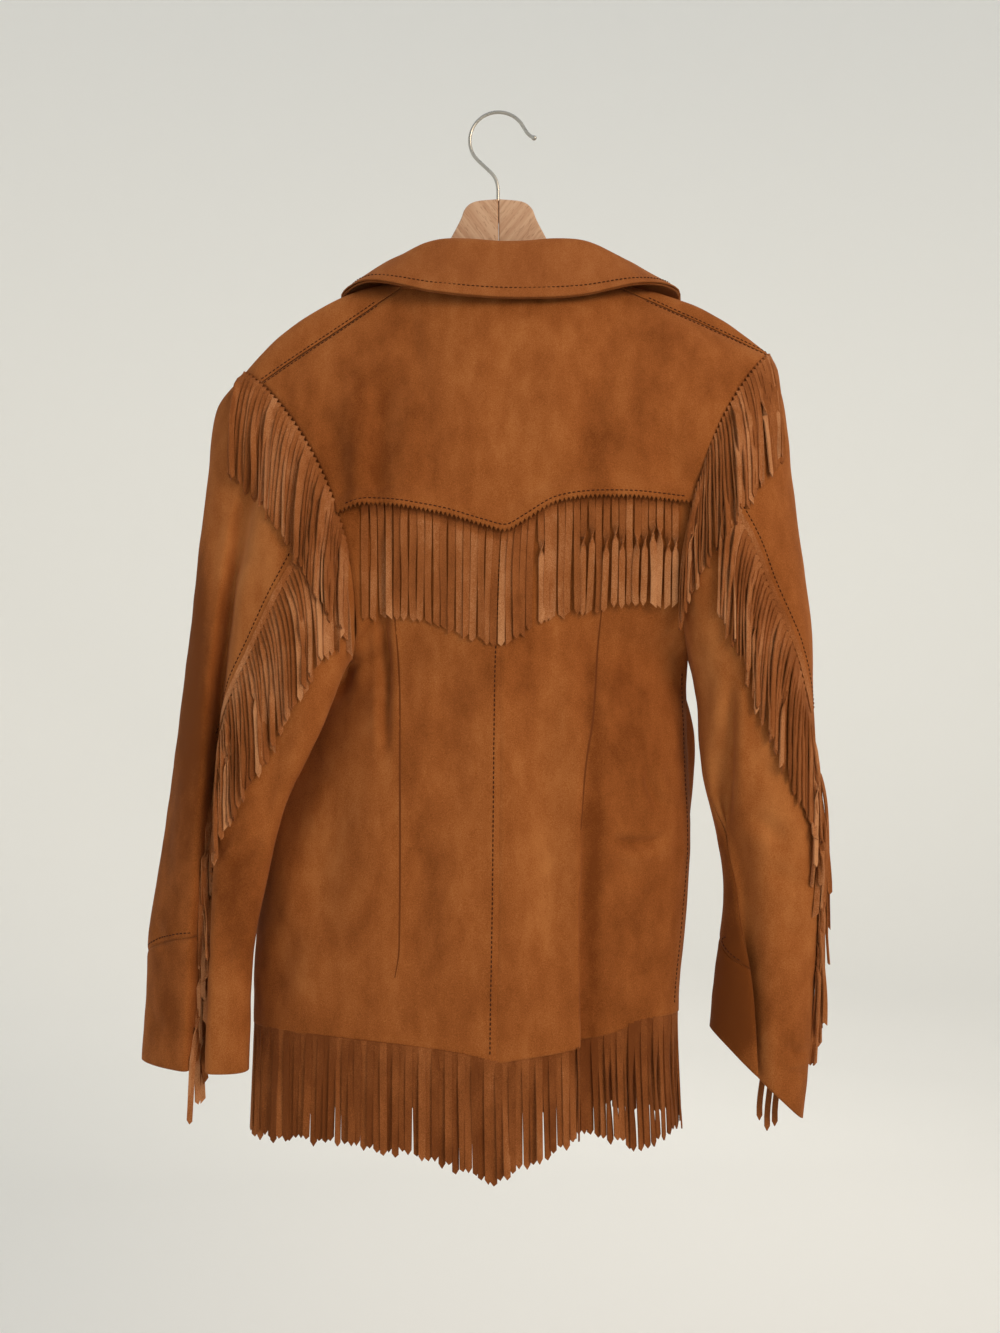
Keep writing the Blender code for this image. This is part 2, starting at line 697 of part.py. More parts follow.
def make_hook_bore(cutters):
    bpy.ops.mesh.primitive_cylinder_add(
        vertices=16,
        radius=(WIRE + SEAM_GAP) * MM,
        depth=BORE_DEPTH * MM,
        location=(HOOK_STEM_X * MM, 0, (HOOK_FOOT_Z - SEAM_GAP + BORE_DEPTH / 2) * MM),
    )
    bore = bpy.context.object
    bore.name = "hook_bore"
    bore.display_type = "WIRE"
    bore.hide_render = True
    for owner in list(bore.users_collection):
        owner.objects.unlink(bore)
    cutters.objects.link(bore)
    return bore


def make_hanger_arm(home, bore, side):
    outline = bpy.data.curves.new("outline", "CURVE")
    outline.dimensions = "2D"
    outline.fill_mode = "BOTH"
    outline.extrude = (WOOD_THICK / 2 - WOOD_ROUND) * MM
    outline.bevel_depth = WOOD_ROUND * MM
    outline.bevel_resolution = 1
    outline.offset = -WOOD_ROUND * MM
    spline = outline.splines.new("POLY")
    spline.points.add(len(HANGER_OUTLINE) - 1)
    for place, point in zip(spline.points, HANGER_OUTLINE):
        x = max(point.x, SEAM_GAP / 2) * side_sign(side)
        place.co = (x * MM, point.z * MM, 0, 1)
    spline.use_cyclic_u = True
    flat = bpy.data.objects.new("outline", outline)
    flat.rotation_euler.x = math.pi / 2
    home.objects.link(flat)
    bpy.context.view_layer.update()
    arm = meshed(flat, f"hanger_arm_{side}", home)
    arm.data.materials.append(finish(f"hanger_arm_{side}", BEECH, BEECH_ROUGHNESS))
    cut = arm.modifiers.new("hook bore", "BOOLEAN")
    cut.operation = "DIFFERENCE"
    cut.object = bore


def make_hook(home):
    wire = bpy.data.curves.new("hanger_hook", "CURVE")
    wire.dimensions = "3D"
    wire.bevel_depth = WIRE * MM
    wire.bevel_resolution = 2
    wire.use_fill_caps = True
    route = hook_route()
    spline = wire.splines.new("POLY")
    spline.points.add(len(route) - 1)
    for place, (x, z, wide) in zip(spline.points, route):
        place.co = (x * MM, 0, z * MM, 1)
        place.radius = wide
    hook = bpy.data.objects.new("hanger_hook", wire)
    hook.data.materials.append(finish("hanger_hook", STEEL, STEEL_ROUGHNESS, 1.0))
    home.objects.link(hook)


def hook_route():
    """(x, z, thickness) down the wire: the balled tip, the crown's arc, the bend to the middle and the stem."""
    route = list(HOOK_TIP)
    steps = 22
    for i in range(steps + 1):
        angle = math.radians(mix(HOOK_TO, HOOK_FROM, i / steps))
        route.append((HOOK_RADIUS * math.cos(angle), HOOK_CENTRE_Z + HOOK_RADIUS * math.sin(angle), 1.0))
    route.extend(HOOK_BEND)
    route.append((HOOK_STEM_X, HOOK_FOOT_Z, 1.0))
    return route


def main():
    clear_scene()
    home = new_collection("fringed_jacket")
    cutters = new_collection("cutters", hidden=True)
    sides = ("left", "right")
    body = [make_yoke(home)]
    body += [make_lower_back(home, side) for side in sides]
    body += [make_front(home, side) for side in sides]
    cloth = body + [piece for side in sides for piece in make_sleeve(home, side)]
    make_collar(home)
    hanging = [make_yoke_fringe(home, cloth)]
    hanging += [make_sleeve_fringe(home, cloth, side) for side in sides]
    for side in sides:
        make_forearm_fringe(home, side)
        make_armhole_fringe(home, cloth + hanging, side)
    bore = make_hook_bore(cutters)
    for side in sides:
        make_hanger_arm(home, bore, side)
    make_hook(home)


main()
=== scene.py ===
import math
from collections import namedtuple
from functools import partial

import bmesh
import bpy
import numpy as np
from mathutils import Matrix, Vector, noise
from mathutils.bvhtree import BVHTree


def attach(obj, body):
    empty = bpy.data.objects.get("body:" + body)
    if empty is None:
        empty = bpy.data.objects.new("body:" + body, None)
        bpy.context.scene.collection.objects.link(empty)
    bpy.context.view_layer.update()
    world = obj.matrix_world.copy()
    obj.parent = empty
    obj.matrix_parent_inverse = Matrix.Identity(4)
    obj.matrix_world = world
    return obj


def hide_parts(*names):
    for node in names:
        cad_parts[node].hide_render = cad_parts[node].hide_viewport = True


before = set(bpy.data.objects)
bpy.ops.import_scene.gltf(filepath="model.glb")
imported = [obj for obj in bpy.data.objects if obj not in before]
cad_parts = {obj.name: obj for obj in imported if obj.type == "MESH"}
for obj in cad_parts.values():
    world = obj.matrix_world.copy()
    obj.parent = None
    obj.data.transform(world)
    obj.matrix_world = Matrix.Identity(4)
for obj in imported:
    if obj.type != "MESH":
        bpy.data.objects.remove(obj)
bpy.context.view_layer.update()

# The room: a pale floor that sweeps up all round like a studio cove, under an even pale sky. A large warm
# softbox stands high on the right, a cooler one low on the left, one fills the front and one lights the
# backdrop. The camera stands level with the jacket's middle, 1.15 m off.
MM = 0.001
FLOOR_Z, FLOOR_FLAT, FLOOR_RIM = -1.7, 2.6, 5.4
COVE_RISE, COVE_CURVE, COVE_INNER = 6.5, 2.4, 0.4
COVE_SPOKES, COVE_RINGS = 72, 18
FLOOR_COLOUR = "#F0EFEA"
SKY_COLOUR, SKY_STRENGTH = "#DDE1E6", 0.86
CAMERA_AT, CAMERA_LENS, CAMERA_REACH = (0.0013, -1.15, -0.4862), 35.29, 50


def linear(colour):
    """An sRGB hex colour as linear red, green, blue and alpha."""
    channels = [int(colour[i : i + 2], 16) / 255 for i in (1, 3, 5)]
    return (*[c / 12.92 if c <= 0.04045 else ((c + 0.055) / 1.055) ** 2.4 for c in channels], 1.0)


def add(tree, kind, settings, inputs):
    """Adds a node. Inputs map a socket to its value, or to the output of another node that feeds it."""
    made = tree.nodes.new(kind)
    for key, value in settings.items():
        setattr(made, key, value)
    for key, value in inputs.items():
        if isinstance(value, bpy.types.NodeSocket):
            tree.links.new(value, made.inputs[key])
        else:
            made.inputs[key].default_value = value
    return made


def blank(name):
    """A new material and its empty node tree, with its output node."""
    made = bpy.data.materials.new(name)
    made.use_nodes = True
    tree = made.node_tree
    tree.nodes.clear()
    return made, tree, tree.nodes.new("ShaderNodeOutputMaterial")


def placed(name, data):
    """A new object in the scene that holds this data."""
    obj = bpy.data.objects.new(name, data)
    bpy.context.scene.collection.objects.link(obj)
    return obj


def piece(name, verts, faces, material):
    """A mesh object in millimetres, in the frame."""
    mesh = bpy.data.meshes.new(name)
    mesh.from_pydata((np.asarray(verts) * MM).tolist(), [], faces)
    mesh.shade_smooth()
    mesh.materials.append(material)
    return placed(name, mesh)


def mix(a, b, share):
    return a + (b - a) * share


def cove():
    """The floor: flat in the middle, then rising in a long soft curve to its rim."""
    verts, faces = [(0, 0, FLOOR_Z / MM)], []
    for j in range(1, COVE_RINGS + 1):
        radius = mix(COVE_INNER, FLOOR_RIM, j / COVE_RINGS)
        rise = max(0.0, (radius - FLOOR_FLAT) / (FLOOR_RIM - FLOOR_FLAT)) ** COVE_CURVE * COVE_RISE
        for i in range(COVE_SPOKES):
            angle = 2 * math.pi * i / COVE_SPOKES
            place = (radius * math.cos(angle), radius * math.sin(angle), FLOOR_Z + rise)
            verts.append(tuple(c / MM for c in place))
    for i in range(COVE_SPOKES):
        after = (i + 1) % COVE_SPOKES
        faces.append((0, 1 + i, 1 + after))
        for j in range(COVE_RINGS - 1):
            a, b = 1 + j * COVE_SPOKES + i, 1 + j * COVE_SPOKES + after
            faces.append((a, a + COVE_SPOKES, b + COVE_SPOKES, b))
    return verts, faces


material, tree, out = blank("matt painted floor")
shader = add(tree, "ShaderNodeBsdfPrincipled", {}, {"Base Color": linear(FLOOR_COLOUR), "Roughness": 0.9})
tree.links.new(shader.outputs[0], out.inputs[0])
piece("floor", *cove(), material)

world = bpy.data.worlds.new("pale sky")
bpy.context.scene.world = world
world.use_nodes = True
world.node_tree.nodes["Background"].inputs[0].default_value = linear(SKY_COLOUR)
world.node_tree.nodes["Background"].inputs[1].default_value = SKY_STRENGTH

ON_JACKET, ON_BACKDROP = Vector((0, 0, -0.5)), Vector((0, 5, 2.3))
Light = namedtuple("Light", "name at aim size watts colour")
LIGHTS = (
    Light("warm softbox", (1.6, -2.0, 0.6), ON_JACKET, 1.1, 33, "#FFE8CC"),
    Light("cool softbox", (-2.3, -1.7, -0.3), ON_JACKET, 1.8, 4, "#D6E6FF"),
    Light("front fill", (0.9, 2.4, 0.4), ON_JACKET, 2.0, 20, "#FFF6EC"),
    Light("backdrop light", (0.2, 1.0, 0.7), ON_BACKDROP, 2.6, 29, "#FFFBF2"),
)
for row in LIGHTS:
    lamp = bpy.data.lights.new(row.name, "AREA")
    lamp.size, lamp.energy, lamp.color = row.size, row.watts, linear(row.colour)[:3]
    holder = placed(row.name, lamp)
    holder.location = row.at
    holder.rotation_euler = (row.aim - holder.location).to_track_quat("-Z", "Y").to_euler()
    holder.visible_camera = False

camera = bpy.data.cameras.new("camera")
camera.lens, camera.clip_end = CAMERA_LENS, CAMERA_REACH
eye = placed("camera", camera)
eye.location = CAMERA_AT
eye.rotation_euler = (math.pi / 2, 0, 0)
bpy.context.scene.camera = eye
bpy.context.scene.view_settings.view_transform = "Standard"


# The hanger's arms: two flat beech arms sawn from board, sanded round at the edges, and mitred together at
# the middle, so that their grain meets in a chevron.
WOOD_THICK, WOOD_ROUND, MITRE_GAP = 13.0, 2.0, 0.15
OUTLINE_STEPS = 4
HANGER_SLOPE = 52.0
BEECH_LIGHT, BEECH_MID, BEECH_FLECK = "#CDA787", "#B98D6C", "#94653F"


def table(kind, *rows):
    """Rows of numbers whose columns have the names of this kind of row."""
    return tuple(kind(*row) for row in rows)


# Round one arm: along its top from the middle to the end, and back underneath.
HangerPoint = namedtuple("HangerPoint", "step x z")
ARM_TURNS = (
    (MITRE_GAP, -76.6), (20, -78.6), (29, -84.5), (33.5, -95), (43, -113), (55, -135), (74, -157),
    (110, -168), (150, -182), (180, -200), (196, -214), (202, -224), (198, -232), (187, -234),
    (150, -212), (100, -192), (50, -178), (MITRE_GAP, -172),
)
HANGER_OUTLINE = [HangerPoint(step, *place) for step, place in enumerate(ARM_TURNS)]


def smooth(share):
    """From 0 to 1 with a soft start and a soft end."""
    share = min(max(share, 0.0), 1.0)
    return share * share * (3 - 2 * share)


def row_at(rows, place):
    """The row at this value of the first column, on a smooth curve through the rows."""
    keys = [row[0] for row in rows]
    rising = keys[-1] > keys[0]
    last = len(rows) - 2
    i = 0
    while i < last and (place > keys[i + 1] if rising else place < keys[i + 1]):
        i += 1
    a, b = rows[i], rows[i + 1]
    before, after = rows[max(i - 1, 0)], rows[min(i + 2, last + 1)]
    span = b[0] - a[0]
    share = min(max((place - a[0]) / span, 0.0), 1.0)
    found = []
    for column in range(len(a)):
        slope_a = (b[column] - before[column]) / (b[0] - before[0]) * span
        slope_b = (after[column] - a[column]) / (after[0] - a[0]) * span
        found.append(
            a[column] * (2 * share**3 - 3 * share**2 + 1)
            + slope_a * (share**3 - 2 * share**2 + share)
            + b[column] * (3 * share**2 - 2 * share**3)
            + slope_b * (share**3 - share**2)
        )
    return type(a)(*found)


def beech(name, lean):
    """Sanded beech: pale pink-brown, with a fine straight grain that leans, dark flecks and a low sheen."""
    made, tree, out = blank(name)
    spot = add(tree, "ShaderNodeTexCoord", {}, {})
    # Growth rings about 3 mm apart, drawn out twenty times as long as they are wide.
    turned = add(
        tree, "ShaderNodeMapping", {}, {0: spot.outputs["Object"], "Rotation": (0, math.radians(lean), 0)}
    )
    rings = add(tree, "ShaderNodeMapping", {}, {0: turned.outputs[0], "Scale": (16, 40, 330)})
    grain = add(tree, "ShaderNodeTexNoise", {}, {0: rings.outputs[0], "Scale": 1.0, "Detail": 3.0})
    # Ray flecks, 1 mm wide and 6 mm long.
    dashes = add(tree, "ShaderNodeMapping", {}, {0: turned.outputs[0], "Scale": (170, 400, 1000)})
    fleck = add(tree, "ShaderNodeTexNoise", {}, {0: dashes.outputs[0], "Scale": 1.0, "Detail": 1.0})
    body = add(tree, "ShaderNodeValToRGB", {}, {0: grain.outputs[0]})
    body.color_ramp.elements[0].position, body.color_ramp.elements[0].color = 0.36, linear(BEECH_MID)
    body.color_ramp.elements[1].position, body.color_ramp.elements[1].color = 0.62, linear(BEECH_LIGHT)
    mask = add(tree, "ShaderNodeMapRange", {}, {0: fleck.outputs[0], 1: 0.60, 2: 0.72, 3: 0.0, 4: 0.55})
    colour = add(
        tree,
        "ShaderNodeMix",
        {"data_type": "RGBA"},
        {0: mask.outputs[0], 6: body.outputs[0], 7: linear(BEECH_FLECK)},
    )
    relief = add(
        tree, "ShaderNodeBump", {}, {"Strength": 0.25, "Distance": 0.0002, "Height": grain.outputs[0]}
    )
    shader = add(
        tree,
        "ShaderNodeBsdfPrincipled",
        {},
        {"Base Color": colour.outputs[2], "Roughness": 0.5, "IOR": 1.5, "Normal": relief.outputs[0]},
    )
    tree.links.new(shader.outputs[0], out.inputs[0])
    return made


for side, sign in (("left", -1), ("right", 1)):
    outline = bpy.data.curves.new("outline", "CURVE")
    outline.dimensions = "2D"
    outline.fill_mode = "BOTH"
    outline.extrude = (WOOD_THICK / 2 - WOOD_ROUND) * MM
    outline.bevel_depth = WOOD_ROUND * MM
    outline.bevel_resolution = 3
    outline.offset = -WOOD_ROUND * MM
    spline = outline.splines.new("POLY")
    steps = range(OUTLINE_STEPS * (len(HANGER_OUTLINE) - 1) + 1)
    turns = [row_at(HANGER_OUTLINE, step / OUTLINE_STEPS) for step in steps]
    spline.points.add(len(turns) - 1)
    for place, point in zip(spline.points, turns):
        place.co = (max(point.x, MITRE_GAP) * sign * MM, point.z * MM, 0, 1)
    spline.use_cyclic_u = True
    flat = placed("outline", outline)
    flat.rotation_euler.x = math.pi / 2
    bpy.context.view_layer.update()
    mesh = bpy.data.meshes.new_from_object(flat.evaluated_get(bpy.context.evaluated_depsgraph_get()))
    mesh.transform(flat.matrix_world)
    welded = bmesh.new()
    welded.from_mesh(mesh)
    bmesh.ops.remove_doubles(welded, verts=welded.verts, dist=1e-6)
    welded.to_mesh(mesh)
    welded.free()
    bpy.data.objects.remove(flat, do_unlink=True)
    mesh.shade_smooth()
    mesh.set_sharp_from_angle(angle=math.radians(35))
    mesh.materials.clear()
    mesh.materials.append(beech(f"sanded beech {side}", sign * HANGER_SLOPE))
    arm = placed(f"wood_arm_{side}", mesh)
    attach(arm, "root")
    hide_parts(f"hanger_arm_{side}")


# The hook: one length of spring-steel wire, bent cold into a loop whose tip is balled so that it doesn't
# snag. Its straight shank is pushed into the joint of the arms.
WIRE = 1.55
STEEL_COLOUR = "#B4B1AA"
HOOK_CENTRE_Z, HOOK_RADIUS = -23.6, 25.2
HOOK_STARTS, HOOK_ENDS, HOOK_STEPS = 39.0, 208.0, 40
HookPoint = namedtuple("HookPoint", "x z wide", defaults=(1.0,))
HOOK_TIP = table(
    HookPoint,
    (33.6, -21.8, 0.2), (33.3, -21.7, 0.85), (32.6, -21.4, 1.3), (31.5, -21.1, 1.5), (30.4, -20.7, 1.3),
    (29.6, -20.2), (27.5, -18.9), (25.0, -16.4),
)
HOOK_BEND = table(
    HookPoint,
    (-20.6, -38.0), (-18.0, -40.9), (-15.4, -43.4), (-12.8, -45.8), (-10.2, -48.2), (-7.7, -50.5),
    (-5.5, -52.8), (-3.7, -55.2), (-2.3, -57.9), (-1.3, -60.8), (-0.7, -63.8), (-0.4, -67.0), (-0.4, -95.8),
)
route = list(HOOK_TIP)
for step in range(HOOK_STEPS + 1):
    angle = math.radians(mix(HOOK_STARTS, HOOK_ENDS, step / HOOK_STEPS))
    route.append(HookPoint(HOOK_RADIUS * math.cos(angle), HOOK_CENTRE_Z + HOOK_RADIUS * math.sin(angle)))
route.extend(HOOK_BEND)
wire = bpy.data.curves.new("wire_hook", "CURVE")
wire.dimensions = "3D"
wire.bevel_depth = WIRE * MM
wire.bevel_resolution = 5
wire.use_fill_caps = True
spline = wire.splines.new("POLY")
spline.points.add(len(route) - 1)
for place, point in zip(spline.points, route):
    place.co = (point.x * MM, 0, point.z * MM, 1)
    place.radius = point.wide
# Drawn steel wire: a bright metal dulled by fine lines along the draw, and slightly clouded by handling.
material, tree, out = blank("drawn steel wire")
spot = add(tree, "ShaderNodeTexCoord", {}, {})
cloud = add(tree, "ShaderNodeTexNoise", {}, {0: spot.outputs["Object"], "Scale": 180.0, "Detail": 3.0})
rough = add(tree, "ShaderNodeMapRange", {}, {0: cloud.outputs[0], 1: 0.3, 2: 0.7, 3: 0.22, 4: 0.42})
shader = add(
    tree,
    "ShaderNodeBsdfPrincipled",
    {},
    {"Base Color": linear(STEEL_COLOUR), "Metallic": 1.0, "Roughness": rough.outputs[0]},
)
tree.links.new(shader.outputs[0], out.inputs[0])
wire.materials.append(material)
hook = placed("wire_hook", wire)
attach(hook, "root")
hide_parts("hanger_hook")


# The sleeves: two-piece sleeves in tan suede. The top sleeve takes the outer half down to a cuff piece sewn
# on across the wrist, and the under sleeve takes the inner half down to the hem in one. They hang flat and
# empty, the left one folded in along its hind seam, the right one along its inner edge.
WALL = 1.3
# Rings round each sleeve, from the armhole, at 0, to the hem, at 1: the ring's ends away from the body and
# towards it, its depth to the back and to the front, its bow towards the body, the depth of its fold, and, in
# degrees, where the fold, the hind seam and the fore seam lie.
Loop = namedtuple(
    "Loop", "along outer_x outer_y outer_z inner_x inner_y inner_z back front bow fold fold_at hind fore"
)
SLEEVES = {
    "left": table(
        Loop,
        (0.00, -223, -4, -230, -125, -34, -480, 38, 58, 36, 0, 60, 108, 195),
        (0.06, -246, -6, -262, -127, -47, -484, 37, 52, 26, 2, 62, 101, 195),
        (0.17, -253, -8, -330, -133, -58, -500, 35, 44, 14, 15, 58, 96, 195),
        (0.30, -262, -10, -410, -146, -63, -535, 33, 38, 6, 22, 62, 89, 195),
        (0.44, -272, -12, -490, -162, -64, -570, 31, 33, 2, 26, 68, 80, 195),
        (0.56, -280, -14, -560, -176, -62, -600, 29, 30, 0, 31, 78, 77, 195),
        (0.67, -289, -16, -630, -191, -58, -648, 27, 28, 0, 34, 87, 83, 195),
        (0.79, -299, -18, -700, -203, -52, -703, 26, 27, 0, 34, 95, 93, 195),
        (0.86, -303, -18, -742, -208, -50, -745, 26, 26, 0, 36, 98, 97, 195),
        (1.00, -308, -18, -824, -211, -48, -826, 26, 26, 0, 36, 99, 98, 195),
    ),
    "right": table(
        Loop,
        (0.00, 238, -2, -214, 166, -6, -475, 52, 48, 36, 0, 150, 80, 195),
        (0.08, 249, -10, -262, 168, -18, -488, 50, 46, 28, 0, 150, 80, 195),
        (0.17, 254, -16, -325, 170, -22, -503, 48, 44, 18, 2, 150, 73, 192),
        (0.28, 262, -20, -395, 172, -24, -524, 46, 42, 10, 4, 148, 66, 188),
        (0.38, 268, -24, -460, 173, -26, -555, 44, 40, 5, 6, 145, 51, 180),
        (0.47, 270, -26, -520, 177, -28, -587, 43, 38, 2, 7, 142, 36, 172),
        (0.58, 272, -28, -590, 186, -28, -625, 42, 36, 0, 8, 138, 15, 162),
        (0.66, 275, -30, -640, 193, -28, -662, 40, 35, 0, 9, 134, 0, 152),
        (0.74, 274, -32, -690, 193, -28, -698, 38, 34, 0, 10, 128, -6, 140),
        (0.86, 269, -34, -760, 189, -26, -742, 36, 33, 0, 12, 116, -10, 116),
        (1.00, 257, -40, -868, 184, -18, -798, 34, 30, 0, 12, 102, -10, 96),
    ),
}
FOLD_WIDTH = {"left": 6.5, "right": 14.0}
FRONT_BOW = 0.5
# The cuff's seam rises towards the elbow at one place across the sleeve.
Tilt = namedtuple("Tilt", "at rise wide")
CUFF_STARTS = {"left": 0.855, "right": 0.845}
CUFF_TILTS = {"left": Tilt(0.0, 0.045, 0.3), "right": Tilt(0.67, 0.05, 0.2)}
SEAM_GAP, FOLD_CLEAR, SLEEVE_CLEAR = 0.3, 0.3, 0.3
SLEEVE_LENGTH, SLEEVE_ROUND = 420.0, 300.0
SUEDE_MID, SUEDE_DARK, SUEDE_LIGHT, SUEDE_EDGE = "#975627", "#6E3810", "#B5733E", "#8A5228"
SHEEN_TINT = "#E0A070"
PATCH_SPREAD, SMUDGE_SPREAD, FIBRE_SPREAD = 0.17, 0.14, 0.27


def suede(name, mid, dark, light):
    """Brushed tan suede: no gloss at all, a soft lightening where it turns away, and a short nap that lies
    light or dark in hand-sized patches and small smudges, over a fine fibrous grain. The "tone" of each point
    says how light its nap is brushed there, from 0 to 1, and in places it also holds painted shade: darker
    tone laid where shade falls in folds, under edges and on sides turned from the light."""
    made, tree, out = blank(name)
    spot = add(tree, "ShaderNodeTexCoord", {}, {})
    tone = add(tree, "ShaderNodeAttribute", {"attribute_name": "tone"}, {})
    # Patches about 70 mm wide and twice as tall, smudges about 14 mm, and fibres drawn at 0.8 mm, twice life.
    tall = add(tree, "ShaderNodeMapping", {}, {0: spot.outputs["Object"], "Scale": (1, 1, 0.5)})
    patches = add(
        tree, "ShaderNodeTexNoise", {}, {0: tall.outputs[0], "Scale": 14.0, "Detail": 3.0, "Distortion": 0.6}
    )
    smudges = add(tree, "ShaderNodeTexNoise", {}, {0: tall.outputs[0], "Scale": 70.0, "Detail": 4.0})
    fibres = add(
        tree,
        "ShaderNodeTexNoise",
        {},
        {0: spot.outputs["Object"], "Scale": 1250.0, "Detail": 3.0, "Roughness": 0.7},
    )
    level = tone.outputs["Fac"]
    for texture, spread in ((patches, PATCH_SPREAD), (smudges, SMUDGE_SPREAD), (fibres, FIBRE_SPREAD)):
        span = {0: texture.outputs[0], 1: 0.3, 2: 0.7, 3: -spread, 4: spread}
        shift = add(tree, "ShaderNodeMapRange", {}, span)
        level = add(tree, "ShaderNodeMath", {"operation": "ADD"}, {0: level, 1: shift.outputs[0]}).outputs[0]
    colour = add(tree, "ShaderNodeValToRGB", {}, {0: level})
    ramp = colour.color_ramp.elements
    ramp[0].position, ramp[0].color = 0.0, linear(dark)
    ramp[1].position, ramp[1].color = 1.0, linear(light)
    middle = ramp.new(0.5)
    middle.color = linear(mid)
    nap = add(tree, "ShaderNodeBump", {}, {"Strength": 0.5, "Distance": 0.0006, "Height": fibres.outputs[0]})
    soft = add(
        tree,
        "ShaderNodeBump",
        {},
        {"Strength": 0.25, "Distance": 0.0015, "Height": smudges.outputs[0], "Normal": nap.outputs[0]},
    )
    shader = add(
        tree,
        "ShaderNodeBsdfPrincipled",
        {},
        {
            "Base Color": colour.outputs[0],
            "Roughness": 0.95,
            "Specular IOR Level": 0.15,
            "Sheen Weight": 0.14,
            "Sheen Roughness": 0.45,
            "Sheen Tint": linear(SHEEN_TINT),
            "Normal": soft.outputs[0],
        },
    )
    tree.links.new(shader.outputs[0], out.inputs[0])
    return made


Crease = namedtuple("Crease", "x z to_x to_z bend width depth")
# A soft patch of tone on the cloth: most are nap brushed light or dark, some are painted shade.
NapAndShade = namedtuple("NapAndShade", "x z wide tall tone")
SWELL_HEIGHT, SWELL_OFF = 0.3, 2.1


def along_crease(x, z, row):
    """How far each point is along a crease, from 0 to 1, and how far off its line, in millimetres."""
    run_x, run_z = row.to_x - row.x, row.to_z - row.z
    length = math.hypot(run_x, run_z)
    share = np.clip(((x - row.x) * run_x + (z - row.z) * run_z) / length**2, -0.3, 1.3)
    off = ((x - row.x) * run_z - (z - row.z) * run_x) / length
    return share, off - row.bend * 4 * share * (1 - share)


def eased(share):
    share = np.clip(share, 0, 1)
    return share * share * (3 - 2 * share)


def creased(grid, normals, creases, facing):
    """Presses creases into the face of a grid that looks to -Y (facing -1) or to +Y (facing 1). A crease is a
    soft trough between two lower swells, and it fades out at both ends. One with a depth below 0 stands up
    instead."""
    looks = np.clip(0.15 + facing * normals[..., 1] * 2, 0, 1)
    moved = np.zeros(grid.shape[:2])
    for row in creases:
        share, off = along_crease(grid[..., 0], grid[..., 2], row)
        fade = eased(share / 0.3) * eased((1 - share) / 0.35)
        swells = np.exp(-(((np.abs(off) - SWELL_OFF * row.width) / row.width) ** 2))
        trough = np.exp(-((off / row.width) ** 2)) - SWELL_HEIGHT * swells
        moved -= row.depth * fade * trough * looks
    return grid + normals * moved[..., None]


def facing_of(grid, inside):
    """Unit normals of a grid, pointing away from the point inside."""
    normals = np.cross(np.gradient(grid, axis=1), np.gradient(grid, axis=0))
    normals /= np.maximum(np.linalg.norm(normals, axis=2, keepdims=True), 1e-9)
    return normals if (normals * (grid - np.array(inside))).sum() > 0 else -normals


def softened(grid, normals, size, depth):
    """Gives the cloth the slight unevenness of a worn hide, in swells of this size."""
    rise = np.array([[noise.noise(Vector(p) / size) for p in row] for row in grid.tolist()])
    return grid + normals * (rise * depth)[..., None]


def rolled(grid, normals, edges, depth=0.8, reach=2.2):
    """Sinks the sewn edges of a piece, where the stitching pulls them down."""
    across = np.linalg.norm(np.diff(grid, axis=1), axis=2)
    down = np.linalg.norm(np.diff(grid, axis=0), axis=2)
    from_left = np.pad(np.cumsum(across, axis=1), ((0, 0), (1, 0)))
    from_top = np.pad(np.cumsum(down, axis=0), ((1, 0), (0, 0)))
    off = {
        "near": from_left,
        "far": from_left[:, -1:] - from_left,
        "top": from_top,
        "foot": from_top[-1:] - from_top,
    }
    sunk = sum((np.exp(-((off[edge] / reach) ** 2)) for edge in edges), np.zeros(grid.shape[:2]))
    return grid - normals * (depth * np.minimum(sunk, 1))[..., None]


def toned(grid, naps_and_shade, base):
    """How light the nap is brushed at each point: the base, and soft patches that are lighter or darker, some
    of them nap and some painted shade.
    """
    level = np.full(grid.shape[:2], base)
    for row in naps_and_shade:
        off = ((grid[..., 0] - row.x) / row.wide) ** 2 + ((grid[..., 2] - row.z) / row.tall) ** 2
        level += row.tone * np.exp(-off)
    return level


def crowded(share, amount=0.5):
    """Spacing that is closer near both ends."""
    return share - amount * math.sin(2 * math.pi * share) / (2 * math.pi)


def set_tone(obj, tones):
    """Gives each point of a piece the tone that its suede reads."""
    level = obj.data.attributes.new("tone", "FLOAT", "POINT")
    level.data.foreach_set("value", np.array(tones, np.float32))


surfaces = {}
BROAD_SWELL, SMALL_SWELL, SMALL_DEPTH = 75.0, 19.0, 0.45


